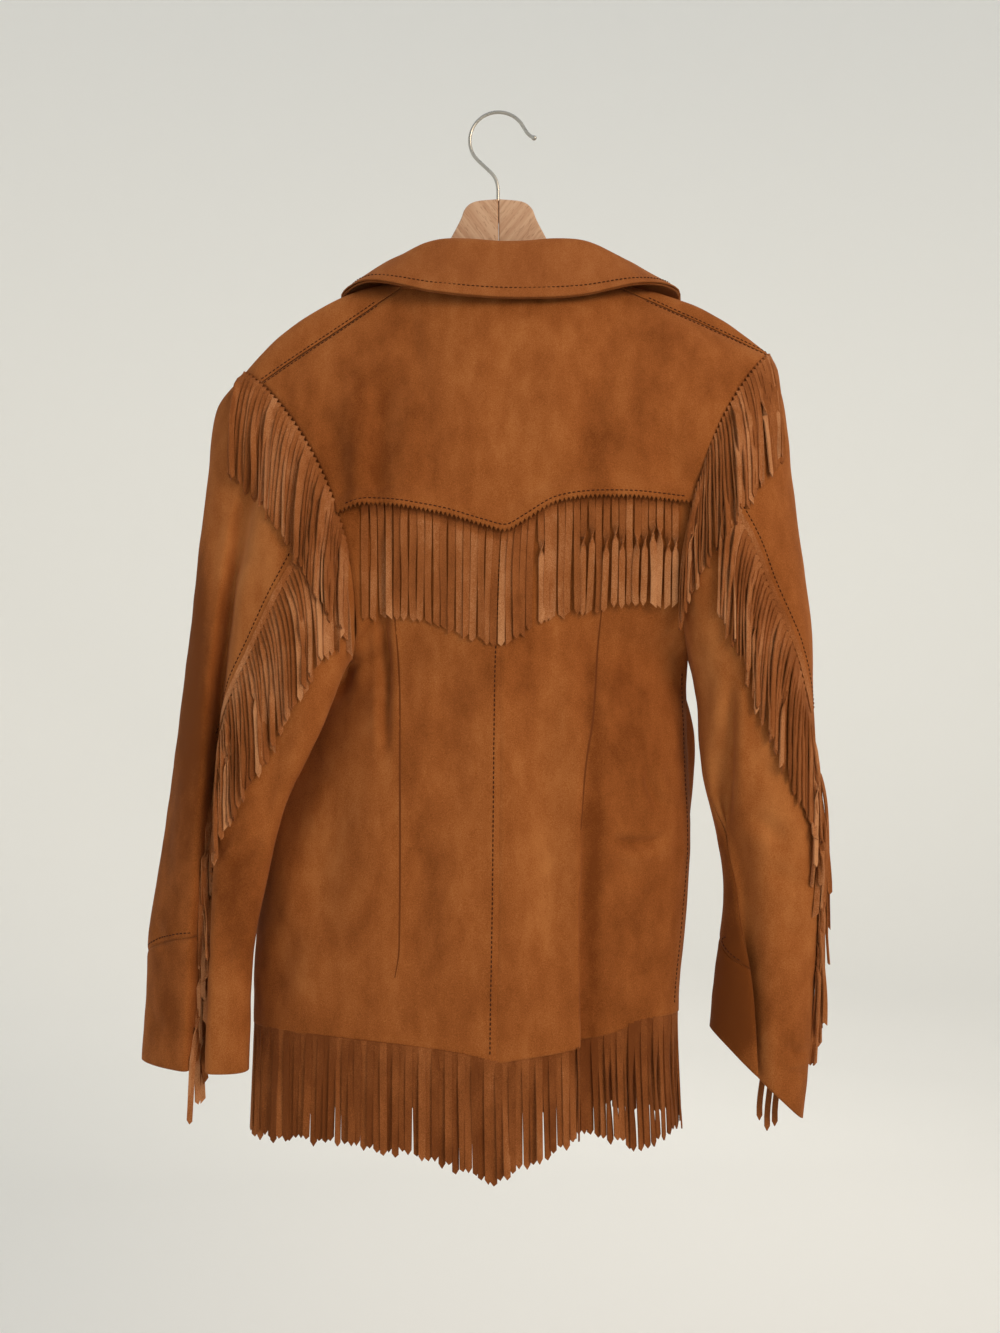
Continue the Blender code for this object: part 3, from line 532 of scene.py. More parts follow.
def cloth(name, point, across, down, inside, look, thick=WALL, even_across=False):
    """One cut piece of suede: a grid bent onto point(u, v), with its creases, soft swells and rolled edges,
    and then its thickness, half to each side. Its middle surface is kept for what is laid on it later."""
    us = [i / across if even_across else crowded(i / across) for i in range(across + 1)]
    vs = [crowded(j / down, 0.35) for j in range(down + 1)]
    grid = np.array([[tuple(point(u, v)) for u in us] for v in vs])
    # Cloth has no sharp bend across it where its cut edge turns a corner, as at the underarm.
    free = np.sin(np.linspace(0, math.pi, across + 1))[None, :, None] ** 0.5
    for _ in range(look.get("relax", 0)):
        grid[1:-1] += 0.5 * free * ((grid[:-2] + grid[2:]) / 2 - grid[1:-1])
    normals = facing_of(grid, inside)
    grid = softened(grid, normals, BROAD_SWELL, look.get("swell", 1.8))
    grid = softened(grid, normals, SMALL_SWELL, SMALL_DEPTH)
    grid = creased(grid, normals, look.get("back", ()), -1)
    grid = creased(grid, normals, look.get("front", ()), 1)
    grid = rolled(grid, normals, look.get("sewn", ()))
    wide = across + 1
    corners = [j * wide + i for j in range(down) for i in range(across)]
    faces = [(a, a + wide, a + wide + 1, a + 1) for a in corners]
    obj = piece(name, grid.reshape(-1, 3), faces, look["finish"])
    set_tone(obj, toned(grid, look.get("nap", ()), look.get("tone", 0.5)).ravel())
    obj.data.materials.append(look.get("edge", look["finish"]))
    wall = obj.modifiers.new("wall", "SOLIDIFY")
    wall.thickness = thick * MM
    wall.offset = 0.0
    wall.material_offset_rim = 1
    surfaces[name] = (grid, faces)
    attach(obj, "root")
    return obj


def sleeve_point(side, along, around):
    """A point of the sleeve, by its place along it and its angle round it in degrees."""
    loop = row_at(SLEEVES[side], along)
    angle = math.radians(around)
    outer = Vector((loop.outer_x, loop.outer_y, loop.outer_z))
    inner = Vector((loop.inner_x, loop.inner_y, loop.inner_z))
    half = (outer - inner) / 2
    reach = loop.back if math.sin(angle) > 0 else loop.front
    inward = 1 if side == "left" else -1
    towards_body = Vector((half.z * inward, 0, -half.x * inward)).normalized()
    off_fold = (around - loop.fold_at) / FOLD_WIDTH[side]
    point = (outer + inner) / 2 + half * math.cos(angle)
    bow = loop.bow if math.sin(angle) > 0 else loop.bow * FRONT_BOW
    point += towards_body * bow * abs(math.sin(angle)) ** 1.6
    point.y += loop.fold * math.exp(-(off_fold**2)) - reach * math.sin(angle)
    return point


def inset(share, start, end, length):
    """The share, kept these many millimetres off the start and the end of an edge of this length."""
    return mix(start / length, 1 - end / length, share)


def round_sleeve(side, along, start, end, u):
    """A point of a piece that runs from one angle round the sleeve to the other."""
    return sleeve_point(side, along, mix(start, end, inset(u, FOLD_CLEAR, FOLD_CLEAR, SLEEVE_ROUND / 2)))


def cuff_joint(side, u):
    """How far along the sleeve the cuff piece is sewn on, at a place u across it."""
    tilt = CUFF_TILTS[side]
    return CUFF_STARTS[side] - tilt.rise * math.exp(-(((u - tilt.at) / tilt.wide) ** 2))


def under_sleeve(side, u, v):
    row = row_at(SLEEVES[side], mix(SLEEVE_CLEAR / SLEEVE_LENGTH, 1, v))
    return round_sleeve(side, row.along, row.hind, row.fore, u)


def top_sleeve(side, u, v):
    foot = cuff_joint(side, u) - SEAM_GAP / 2 / SLEEVE_LENGTH
    row = row_at(SLEEVES[side], mix(SLEEVE_CLEAR / SLEEVE_LENGTH, foot, v))
    return round_sleeve(side, row.along, row.hind, row.fore - 360, u)


def cuff_piece(side, u, v):
    row = row_at(SLEEVES[side], mix(cuff_joint(side, u) + SEAM_GAP / 2 / SLEEVE_LENGTH, 1, v))
    return round_sleeve(side, row.along, row.hind, row.fore - 360, u)


SLEEVE_MIDDLE = {"left": (-235, -20, -550), "right": (225, -22, -550)}
SLEEVE_BACK_CREASES = {
    "left": table(
        Crease,
        (-226, -300, -205, -430, 6, 13, 3.2), (-246, -340, -238, -470, -4, 11, 2.6),
        (-165, -500, -196, -640, 5, 12, 4.3), (-210, -556, -226, -606, 3, 5, 3.5),
        (-196, -592, -230, -622, 4, 4.5, 3.2), (-192, -626, -226, -652, -3, 5, 3.5),
        (-204, -610, -236, -650, 5, 4, 2.3), (-206, -700, -232, -735, 3, 6, 2.6),
        (-278, -560, -284, -690, 3, 9, 2.3), (-292, -700, -276, -730, 3, 6, 1.7),
        (-300, -780, -278, -792, 2, 6, 1.4),
    ),
    "right": table(
        Crease,
        (194, -480, 192, -660, 2, 5, 8.0), (226, -380, 236, -500, 4, 12, 2.9),
        (214, -560, 246, -584, 4, 8, 2.2), (206, -610, 240, -640, -5, 7, 3.5),
        (222, -650, 262, -668, 5, 7, 2.0), (232, -700, 264, -712, 3, 8, 1.6),
        (238, -800, 262, -812, 3, 4.5, 3.2), (240, -822, 260, -830, -2, 3.5, 2.6),
        (226, -730, 236, -800, 4, 10, 1.7),
    ),
}
SLEEVE_FRONT_CREASES = {
    "left": table(
        Crease,
        (-240, -330, -200, -470, -8, 14, 3.5), (-262, -420, -190, -480, 8, 12, 3.2),
        (-276, -560, -206, -590, 7, 9, 2.9), (-284, -620, -214, -640, -5, 8, 2.3),
        (-280, -690, -246, -760, 3, 11, 2.0),
    ),
    "right": table(
        Crease,
        (246, -320, 206, -460, 8, 14, 3.5), (262, -430, 190, -500, -8, 12, 3.2),
        (268, -560, 196, -596, -7, 9, 2.9), (268, -640, 204, -660, 5, 8, 2.3),
        (250, -700, 222, -780, -3, 11, 2.0),
    ),
}
# Patches of nap tone on the sleeves. On the left sleeve, the wide dark patch down the outer lobe and the
# narrow one along the cleft beside it are painted shade.
SLEEVE_NAPS_AND_SHADE = {
    "left": table(
        NapAndShade,
        (-236, -350, 26, 60, 0.12), (-272, -520, 24, 210, -0.45), (-256, -490, 12, 90, -0.5),
        (-217, -680, 18, 60, -0.35), (-279, -776, 20, 50, -0.1), (-285, -740, 30, 90, -0.16),
        (-206, -600, 16, 60, 0.08), (-222, -690, 14, 60, -0.14), (-290, -640, 12, 80, 0.06),
    ),
    "right": table(
        NapAndShade,
        (230, -590, 26, 90, 0.26), (184, -550, 10, 70, 0.3), (216, -500, 16, 60, -0.08),
        (252, -640, 20, 60, 0.1), (212, -640, 14, 60, -0.1), (240, -760, 26, 60, -0.06),
    ),
}
# The nap lies the light way high on the left top sleeve. The front of the right one, which is seen past the
# fold, is painted dark as the shade it lies in, and a narrow line of painted shade runs down the fold.
TOP_NAPS_AND_SHADE = {
    "left": (NapAndShade(-205, -385, 30, 45, 0.3),),
    "right": (NapAndShade(196, -760, 24, 70, -0.7), NapAndShade(198, -650, 8, 60, -0.3)),
}
body_suede = suede("brushed tan suede", SUEDE_MID, SUEDE_DARK, SUEDE_LIGHT)
edge_suede = suede("cut suede edge", SUEDE_EDGE, SUEDE_DARK, SUEDE_MID)
# What each piece was cut to, in metres and square metres. A sleeve is 0.61 m from the shoulder to the hem.
Flat = namedtuple("Flat", "width length area")
SLEEVE_FLATS = {
    "left": {
        "top": Flat(0.25, 0.52, 0.115),
        "under": Flat(0.13, 0.42, 0.040),
        "cuff": Flat(0.20, 0.105, 0.0195),
    },
    "right": {
        "top": Flat(0.22, 0.50, 0.082),
        "under": Flat(0.14, 0.45, 0.049),
        "cuff": Flat(0.15, 0.105, 0.0147),
    },
}
for side in ("left", "right"):
    look = {
        "finish": body_suede,
        "edge": edge_suede,
        "back": SLEEVE_BACK_CREASES[side],
        "front": SLEEVE_FRONT_CREASES[side],
        "nap": SLEEVE_NAPS_AND_SHADE[side],
        "sewn": ("near", "far"),
        "tone": 0.5,
    }
    top_look = {**look, "nap": SLEEVE_NAPS_AND_SHADE[side] + TOP_NAPS_AND_SHADE[side], "sewn": ("near", "far", "foot")}
    cuff_look = {**top_look, "sewn": ("near", "far", "top")}
    middle = SLEEVE_MIDDLE[side]
    made = {
        "under": cloth(f"under_sleeve_{side}", partial(under_sleeve, side), 44, 150, middle, look),
        "top": cloth(f"top_sleeve_{side}", partial(top_sleeve, side), 104, 128, middle, top_look),
        "cuff": cloth(f"cuff_piece_{side}", partial(cuff_piece, side), 104, 26, middle, cuff_look),
    }
    for part, flat in SLEEVE_FLATS[side].items():
        obj = made[part]
        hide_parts(f"sleeve_{part}_{side}")


# The body: a one-piece back yoke, two lower back panels joined down the middle, and two fronts that come over
# the shoulder to a seam on the back. All are cut from tan suede hides and hang soft, close and nearly flat.
SHOULDER_AT = {"left": 30.0, "right": 8.0}
YOKE_AT = {"left": 96.0, "right": 95.0}
UNDERARM = 180.0
Level = namedtuple("Level", "z x y")
SIDE_SEAMS = {
    "left": table(
        Level,
        (-480, -125, -34), (-496, -141, -14), (-530, -162, -2), (-580, -186, 2), (-650, -206, 3),
        (-720, -213, 2), (-800, -214, 0), (-888, -216, -2),
    ),
    "right": table(
        Level,
        (-475, 166, -6), (-510, 165, -2), (-570, 166, 0), (-640, 169, 0), (-700, 164, 0), (-780, 157, 0),
        (-882, 160, 0),
    ),
}
CENTRE_BACK = table(
    Level,
    (-371, 6, -63), (-500, 2, -66), (-680, 0, -70), (-812, -2, -68), (-912, -1, -66),
)
FRONT_EDGES = {
    "left": (Level(-258, -3, 52), Level(-480, -4, 55), Level(-700, -7, 58), Level(-894, -10, 56)),
    "right": (Level(-258, 3, 52), Level(-480, 4, 55), Level(-700, 8, 58), Level(-894, 12, 56)),
}
Rise = namedtuple("Rise", "across rise")
YOKE_SEAM = table(
    Rise,
    (0.0, 0), (0.09, 7), (0.28, -2), (0.42, -15), (0.475, -19), (0.52, -12), (0.62, 4), (0.80, 7), (1.0, 0),
)
YOKE_CROWN = 6.0
CENTRE_BACK_SPLIT = 0.475
HEM_BACK = {
    "left": (Rise(0.0, 0), Rise(0.3, 11), Rise(0.6, 14), Rise(0.8, 9), Rise(1.0, 0)),
    "right": (Rise(0.0, 0), Rise(0.28, -1), Rise(0.5, 17), Rise(0.75, 14), Rise(1.0, 0)),
}
# Two soft folds hang down the left back. On the right back the cloth steps in sharply past one line, where it
# is tucked under, and comes out again more slowly.
Fold = namedtuple("Fold", "top_x foot_x width depth top_z full_z")
BACK_FOLDS = (
    Fold(-99, -97, 11, 9, -470, -400),
    Fold(-140, -160, 26, 6, -820, -560),
)
STEP_TOP, STEP_FULL = -540.0, -800.0
STEP_X, STEP_HALF, STEP_DEPTH = 70.0, 3.2, 17.0
STEP_REACH, STEP_TUCK, TUCK_REACH = 80.0, 9.0, 18.0
FOLD_FOOT, FOLD_LENGTH = -880.0, 500.0
Neck = namedtuple("Neck", "along x y z fold_x fold_y fold_z edge_x edge_y edge_z")
NECK = table(
    Neck,
    (-1.00, -4, 52, -258, -9, 60, -252, -60, 62, -284),
    (-0.85, -34, 50, -234, -39, 57, -226, -88, 60, -252),
    (-0.68, -64, 38, -200, -70, 44, -187, -116, 49, -214),
    (-0.55, -84, 15, -164, -88, 18, -148, -133, 26, -175),
    (-0.47, -88, 0, -152, -91, 0, -134, -138, 4, -159),
    (-0.38, -82, -17, -156, -82, -14, -131, -112, -28, -155),
    (-0.20, -44, -31, -164, -50, -26, -121, -52, -46, -170),
    (0.00, 4, -37, -167, 6, -32, -125, 6, -51, -176),
    (0.20, 54, -31, -164, 66, -27, -121, 66, -46, -173),
    (0.38, 102, -16, -156, 106, -13, -133, 124, -31, -158),
    (0.47, 110, 0, -153, 113, 0, -137, 158, 2, -155),
    (0.55, 103, 15, -166, 109, 21, -149, 160, 34, -173),
    (0.68, 76, 38, -201, 86, 49, -187, 134, 57, -216),
    (0.85, 38, 50, -234, 46, 60, -226, 96, 65, -252),
    (1.00, 4, 52, -258, 10, 61, -252, 62, 66, -284),
)
NECK_POINT, NECK_RIDGE = 0.38, 0.47
NECK_FROM, NECK_TO = 0.28, 0.70
RIDGE_RISE = {"left": 22.0, "right": 13.0}
# How far down a front it crosses the shoulder's ridge, and reaches the opening and the underarm. How far down
# a lower back it reaches the underarm, and how much further the side takes to turn over.
RIDGE_ROW, FRONT_TOP_ROW, FRONT_UNDERARM_ROW = 0.05, 0.15, 0.33
BACK_UNDERARM_ROW, SIDE_TURNS_OVER, SIDE_STARTS = 0.23, 0.12, 0.04
ARMHOLE_CLEAR, SIDE_CLEAR, CENTRE_LAP = 0.4, 0.3, 0.8
HALF_BACK, YOKE_LENGTH, FRONT_LENGTH = 130.0, 170.0, 760.0
YOKE_COLUMNS, PINK_DEPTH, YOKE_OVERLAP, YOKE_LIFT, YOKE_FLARE = 164, 3.4, 1.6, 3.8, 1.2
LAP_STARTS, LAP_OVER, FLARE_STARTS, FLARE_OVER = 0.92, 0.06, 0.97, 0.03
# The right front stands out a little past its side seam, below the arm.
SIDE_BULGE = {"left": 0.0, "right": 17.0}
BULGE_WIDE, BULGE_Z, BULGE_TALL = 0.36, -540.0, 70.0


def armhole(side, around):
    return sleeve_point(side, 0.0, around)


def seam_level(rows, z):
    level = row_at(rows, z)
    return Vector((level.x, level.y, z))


def neck_edge(along):
    row = row_at(NECK, along)
    return Vector((row.x, row.y, row.z))


def side_sign(side):
    return -1 if side == "left" else 1


def shoulder_seam(side, share):
    """From the armhole, at 0, to the neck, at 1."""
    return armhole(side, SHOULDER_AT[side]).lerp(neck_edge(side_sign(side) * NECK_POINT), share)


def yoke_seam(across):
    """The yoke's lower edge, from the left armhole, at 0, to the right, at 1."""
    point = armhole("left", YOKE_AT["left"]).lerp(armhole("right", YOKE_AT["right"]), across)
    point.z += row_at(YOKE_SEAM, across).rise
    point.y -= YOKE_CROWN * 4 * across * (1 - across)
    return point


def yoke_top(across):
    """Left shoulder seam, back of the neck and right shoulder seam, in one line."""
    if across < NECK_FROM:
        return shoulder_seam("left", across / NECK_FROM)
    if across > NECK_TO:
        return shoulder_seam("right", (1 - across) / (1 - NECK_TO))
    share = (across - NECK_FROM) / (NECK_TO - NECK_FROM)
    return neck_edge(mix(-NECK_POINT, NECK_POINT, share))


def patch(near, far, top, foot, share, v, turn=0.0):
    """A surface through four edge curves, near to far across and top to foot down. At turn 1 it leaves its
    near edge square to the line across, as cloth does that rounds a side."""
    across = mix(share, 1 - math.cos(share * math.pi / 2), turn)
    outward = mix(share, math.sin(share * math.pi / 2), turn)
    near_v, far_v, top_a, foot_a = near(v), far(v), top(across), foot(across)
    top_0, top_1, foot_0, foot_1 = top(0), top(1), foot(0), foot(1)
    point = near_v.lerp(far_v, across) + top_a.lerp(foot_a, v)
    point -= top_0.lerp(top_1, across).lerp(foot_0.lerp(foot_1, across), v)
    straight = mix(mix(top_0.y, top_1.y, across), mix(foot_0.y, foot_1.y, across), v)
    point.y = mix(near_v.y, far_v.y, outward) + mix(top_a.y, foot_a.y, v) - straight
    return point


def back_side_edge(side, v):
    """Edge of the lower back: the armhole below the yoke, then the side seam."""
    if v < BACK_UNDERARM_ROW:
        return armhole(side, mix(YOKE_AT[side], UNDERARM, v / BACK_UNDERARM_ROW))
    rows = SIDE_SEAMS[side]
    return seam_level(rows, mix(rows[0].z, rows[-1].z, (v - BACK_UNDERARM_ROW) / (1 - BACK_UNDERARM_ROW)))


def centre_back(v):
    level = seam_level(CENTRE_BACK, mix(CENTRE_BACK[0].z, CENTRE_BACK[-1].z, v))
    start = yoke_seam(CENTRE_BACK_SPLIT)
    return level + (start - seam_level(CENTRE_BACK, CENTRE_BACK[0].z)) * (1 - smooth(v * 4))


def half_hem(side, u):
    rows = SIDE_SEAMS[side]
    point = seam_level(rows, rows[-1].z).lerp(centre_back(1), u)
    point.z += row_at(HEM_BACK[side], u).rise
    return point


def half_yoke_seam(side, u):
    return yoke_seam(CENTRE_BACK_SPLIT * u if side == "left" else mix(1, CENTRE_BACK_SPLIT, u))


def back_folds(point):
    """How far the folds push the lower back in, towards +Y, and how far the step tucks it under."""
    sunk = 0.0
    for fold in BACK_FOLDS:
        fade = smooth((point.z - fold.top_z) / (fold.full_z - fold.top_z))
        middle = mix(fold.foot_x, fold.top_x, smooth((point.z - FOLD_FOOT) / FOLD_LENGTH))
        sunk += fold.depth * fade * math.exp(-(((point.x - middle) / fold.width) ** 2))
    step = smooth((point.z - STEP_TOP) / (STEP_FULL - STEP_TOP))
    past = point.x - STEP_X
    over = step * smooth((past / STEP_HALF + 1) / 2)
    sunk += STEP_DEPTH * over * (1 - smooth(past / STEP_REACH))
    tucked = STEP_TUCK * over * (1 - smooth(past / TUCK_REACH))
    return sunk, tucked


def side_clear(below_underarm):
    return mix(ARMHOLE_CLEAR, SIDE_CLEAR, smooth((below_underarm - SIDE_STARTS) / SIDE_TURNS_OVER))


def lower_back(side, u, v):
    """A point of the lower back, u from the side edge to the centre, v from the yoke seam to the hem."""
    turn = smooth((v - BACK_UNDERARM_ROW) / SIDE_TURNS_OVER)
    u = inset(u, side_clear(v - BACK_UNDERARM_ROW), -CENTRE_LAP / 2, HALF_BACK)
    side_edge, top, hem = (partial(edge, side) for edge in (back_side_edge, half_yoke_seam, half_hem))
    point = patch(side_edge, centre_back, top, hem, u, v, turn)
    sunk, tucked = back_folds(point)
    point.y += sunk * smooth(u * 4)
    point.x -= tucked
    return point


def yoke_side_edge(side, v):
    return armhole(side, mix(SHOULDER_AT[side], YOKE_AT[side], v))


def yoke(u, v):
    u = inset(u, ARMHOLE_CLEAR, ARMHOLE_CLEAR, 2 * HALF_BACK)
    v = inset(v, SEAM_GAP, 0, YOKE_LENGTH)
    return patch(partial(yoke_side_edge, "left"), partial(yoke_side_edge, "right"), yoke_top, yoke_seam, u, v)


def lapped_yoke(u, v):
    """The yoke with its pinked edge, which stands out over the fringe that is caught under it."""
    point = yoke(u, v)
    lap = smooth((v - LAP_STARTS) / LAP_OVER)
    tooth = PINK_DEPTH * (round(u * YOKE_COLUMNS) % 2) if v > 0.999 else 0.0
    point.z -= YOKE_OVERLAP * lap + tooth
    point.y -= YOKE_LIFT * lap + YOKE_FLARE * smooth((v - FLARE_STARTS) / FLARE_OVER)
    return point


def front_side_edge(side, v):
    """Edge of a front: the armhole from the shoulder seam over the top and down, then the side seam."""
    if v < RIDGE_ROW:
        return armhole(side, mix(SHOULDER_AT[side], 0, v / RIDGE_ROW))
    if v < FRONT_UNDERARM_ROW:
        share = (v - RIDGE_ROW) / (FRONT_UNDERARM_ROW - RIDGE_ROW)
        return armhole(side, mix(0, UNDERARM - 360, share))
    rows = SIDE_SEAMS[side]
    share = (v - FRONT_UNDERARM_ROW) / (1 - FRONT_UNDERARM_ROW)
    return seam_level(rows, mix(rows[0].z, rows[-1].z, share))


def front_middle_edge(side, v):
    """Edge of a front: the neck from the shoulder seam over the ridge to the front, then the opening."""
    sign = side_sign(side)
    if v < RIDGE_ROW:
        return neck_edge(sign * mix(NECK_POINT, NECK_RIDGE, v / RIDGE_ROW))
    if v < FRONT_TOP_ROW:
        return neck_edge(sign * mix(NECK_RIDGE, 1, (v - RIDGE_ROW) / (FRONT_TOP_ROW - RIDGE_ROW)))
    rows = FRONT_EDGES[side]
    if v < FRONT_UNDERARM_ROW:
        share = (v - FRONT_TOP_ROW) / (FRONT_UNDERARM_ROW - FRONT_TOP_ROW)
        return seam_level(rows, mix(rows[0].z, rows[1].z, share))
    share = (v - FRONT_UNDERARM_ROW) / (1 - FRONT_UNDERARM_ROW)
    return seam_level(rows, mix(rows[1].z, rows[-1].z, share))


def front(side, u, v):
    """A point of a front, u from the armhole and side seam to the opening, v from the shoulder to the hem."""
    turn = smooth((v - FRONT_UNDERARM_ROW) / SIDE_TURNS_OVER)
    u = inset(u, side_clear(v - FRONT_UNDERARM_ROW), 0, HALF_BACK)
    v = inset(v, SEAM_GAP, 0, FRONT_LENGTH)
    near, far = front_side_edge(side, v), front_middle_edge(side, v)
    point = near.lerp(far, mix(u, 1 - math.cos(u * math.pi / 2), turn))
    point.y = mix(near.y, far.y, mix(u, math.sin(u * math.pi / 2), turn))
    up_to_ridge = math.sin(min(v / RIDGE_ROW, 1) * math.pi / 2)
    past_ridge = smooth((v - RIDGE_ROW) / (FRONT_UNDERARM_ROW - RIDGE_ROW))
    point.z += RIDGE_RISE[side] * up_to_ridge * (1 - past_ridge) * 4 * u * (1 - u)
    past_seam = math.sin(math.pi * min(u / BULGE_WIDE, 1)) ** 2
    level = math.exp(-(((point.z - BULGE_Z) / BULGE_TALL) ** 2))
    point.x += side_sign(side) * SIDE_BULGE[side] * past_seam * level
    return point


# Where the cloth ends and its slit fringe begins, across each lower back from the side to the centre and
# across each front from the side to the opening, as heights.
Cut = namedtuple("Cut", "across z")
HEM_CUT = {
    "left": (Cut(0.0, -797), Cut(0.3, -797), Cut(0.6, -799), Cut(0.85, -805), Cut(1.0, -814)),
    "right": (Cut(0.0, -787), Cut(0.42, -787), Cut(0.56, -797), Cut(0.75, -806), Cut(1.0, -815)),
}
FRONT_CUT_Z, CUT_HALVINGS = -798.0, 14


def cut_share(point, u, z):
    """How far down a panel its hem is cut, by halving, for the column at u."""
    low, high = 0.5, 1.0
    for _ in range(CUT_HALVINGS):
        middle = (low + high) / 2
        if point(u, middle).z > z:
            low = middle
        else:
            high = middle
    return high


def cut_line(point, heights, count=24):
    """The share down a panel at which its hem is cut, for any u, read off a few columns."""
    us = np.linspace(0, 1, count)
    shares = [cut_share(point, u, row_at(heights, u).z) for u in us]
    return lambda u: float(np.interp(u, us, shares))


LOWER_BACK_CREASES = table(
    Crease,
    (-97, -425, -94, -572, 0, 4, 7.0), (-112, -420, -116, -520, 4, 9, -4.3),
    (-100, -446, -140, -520, 7, 7, 4.3), (-150, -540, -182, -660, 8, 15, 3.8),
    (-118, -560, -150, -740, 10, 17, 3.2), (-62, -600, -74, -760, -4, 16, 3.2),
    (-170, -700, -190, -790, 5, 12, 2.6), (-40, -470, -36, -640, 3, 15, 1.7),
    (34, -480, 44, -780, -4, 18, 3.8), (86, -440, 74, -560, 4, 9, 2.9), (126, -567, 146, -612, 6, 5, 4.6),
    (90, -630, 147, -632, 5, 4.5, 5.2), (96, -652, 132, -664, 4, 7, 1.7),
    (120, -680, 132, -780, 4, 12, 2.3), (110, -470, 122, -560, 5, 12, 2.3),
)
YOKE_CREASES = table(
    Crease,
    (-92, -230, -101, -372, 3, 12, 4.6), (-142, -270, -128, -362, -4, 10, 3.5),
    (-116, -292, -118, -366, 2, 8, -2.3), (-160, -250, -140, -340, -5, 14, 2.6),
    (82, -240, 80, -330, 3, 15, 1.7), (130, -280, 152, -350, -4, 12, 2.3), (20, -200, 8, -330, 4, 22, 1.4),
)
FRONT_CREASES = {
    "left": table(
        Crease,
        (-150, -470, -90, -560, 8, 12, 3.8), (-120, -400, -60, -480, -6, 14, 3.2),
        (-170, -600, -120, -760, 10, 16, 3.5), (-70, -560, -90, -780, 8, 20, 3.2),
        (-40, -300, -30, -460, 5, 16, 2.6),
    ),
    "right": table(
        Crease,
        (152, -480, 96, -570, -8, 12, 3.8), (126, -400, 64, -490, 6, 14, 3.2),
        (140, -600, 108, -760, -8, 15, 3.5), (66, -560, 84, -780, -8, 20, 3.2),
        (40, -300, 34, -460, -5, 16, 2.6),
    ),
}
# Patches of nap tone on the back. Three are painted shade: the narrow dark line down the yoke's trough on the
# left, and the two dark patches just past the step on the right, where the cloth is tucked under.
BACK_NAPS_AND_SHADE = table(
    NapAndShade,
    (-150, -310, 44, 80, -0.3), (-97, -320, 10, 90, -0.16), (82, -300, 16, 60, -0.26),
    (125, -290, 40, 50, -0.16), (20, -290, 50, 60, 0.12), (-40, -250, 40, 50, 0.02),
    (-120, -500, 26, 50, -0.12), (-60, -560, 24, 70, 0.02), (-162, -695, 30, 90, 0.18),
    (-30, -620, 20, 120, 0.06), (36, -640, 22, 150, 0.16), (79, -650, 9, 130, -0.5),
    (96, -660, 20, 130, -0.16), (110, -500, 26, 50, -0.12), (130, -700, 30, 100, -0.08),
    (-40, -770, 60, 26, -0.12), (-170, -780, 40, 30, -0.1),
)
# Points inside the body, which its pieces look away from.
BODY_MIDDLE, YOKE_MIDDLE = (0, 0, -550), (0, 60, -260)
back_look = {
    "finish": body_suede,
    "edge": edge_suede,
    "back": LOWER_BACK_CREASES,
    "nap": BACK_NAPS_AND_SHADE,
    "sewn": ("near", "far"),
    "tone": 0.45,
    "relax": 50,
}
# The flat sizes take in the slit hems, which are pieces on the panels here.
BACK_FLATS = {"left": Flat(0.25, 0.56, 0.108), "right": Flat(0.24, 0.56, 0.102)}
FRONT_FLATS = {"left": Flat(0.29, 0.76, 0.145), "right": Flat(0.27, 0.76, 0.135)}
hem_cuts = {}
for side in ("left", "right"):
    hem_cuts[f"back_{side}"] = cut_line(partial(lower_back, side), HEM_CUT[side])
    hem_cuts[f"front_{side}"] = cut_line(partial(front, side), (Cut(0.0, FRONT_CUT_Z), Cut(1.0, FRONT_CUT_Z)))


def cut_back(side, u, v):
    """A point of a lower back above its cut, below which it is slit into strips."""
    return lower_back(side, u, v * hem_cuts[f"back_{side}"](u))


def cut_front(side, u, v):
    """The same for a front. Its rows stand closer together over the shoulder than they do further down."""
    return front(side, u, mix(v * v, v, 0.4) * hem_cuts[f"front_{side}"](u))


def body_cloth(name, point, across, down, inside, look, node, even_across=False):
    obj = cloth(name, point, across, down, inside, look, even_across=even_across)
    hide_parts(node)
    return obj


for side in ("left", "right"):
    point, node = partial(cut_back, side), f"back_{side}"
    body_cloth(f"lower_back_{side}", point, 118, 150, BODY_MIDDLE, back_look, node)
yoke_look = {
    **back_look,
    "back": YOKE_CREASES,
    "tone": 0.48,
    "sewn": ("near", "far", "top"),
    "swell": 1.4,
    "relax": 0,
}
obj = body_cloth("yoke_cloth", lapped_yoke, YOKE_COLUMNS, 60, YOKE_MIDDLE, yoke_look, "back_yoke", True)
for side in ("left", "right"):
    look = {**back_look, "back": (), "front": FRONT_CREASES[side], "nap": (), "sewn": ("near",), "tone": 0.5}
    point, node = partial(cut_front, side), f"front_{side}"
    body_cloth(f"front_panel_{side}", point, 48, 170, BODY_MIDDLE, look, node)


# The collar: a one-piece shirt collar of two layers of suede, sewn together and topstitched round its outer
# edge, turned down over its own stand and set into the neck.
COLLAR_LAYER, COLLAR_SPLIT, COLLAR_CLEAR = 1.3, 0.9, -3.0
FOLD_RADIUS, LEAF_LIFT = 4.0, 1.5
COLLAR_MIDDLE, COLLAR_STEP = (5, 5, -210), 0.02
COLLAR_MID, COLLAR_DARK, COLLAR_LIGHT = "#98592C", "#7C421C", "#B07242"
COLLAR_SHARES = (0.0, 0.25, 0.375, 0.5, 0.625, 0.75, 1.0)
CollarRow = namedtuple("CollarRow", "share x y z")


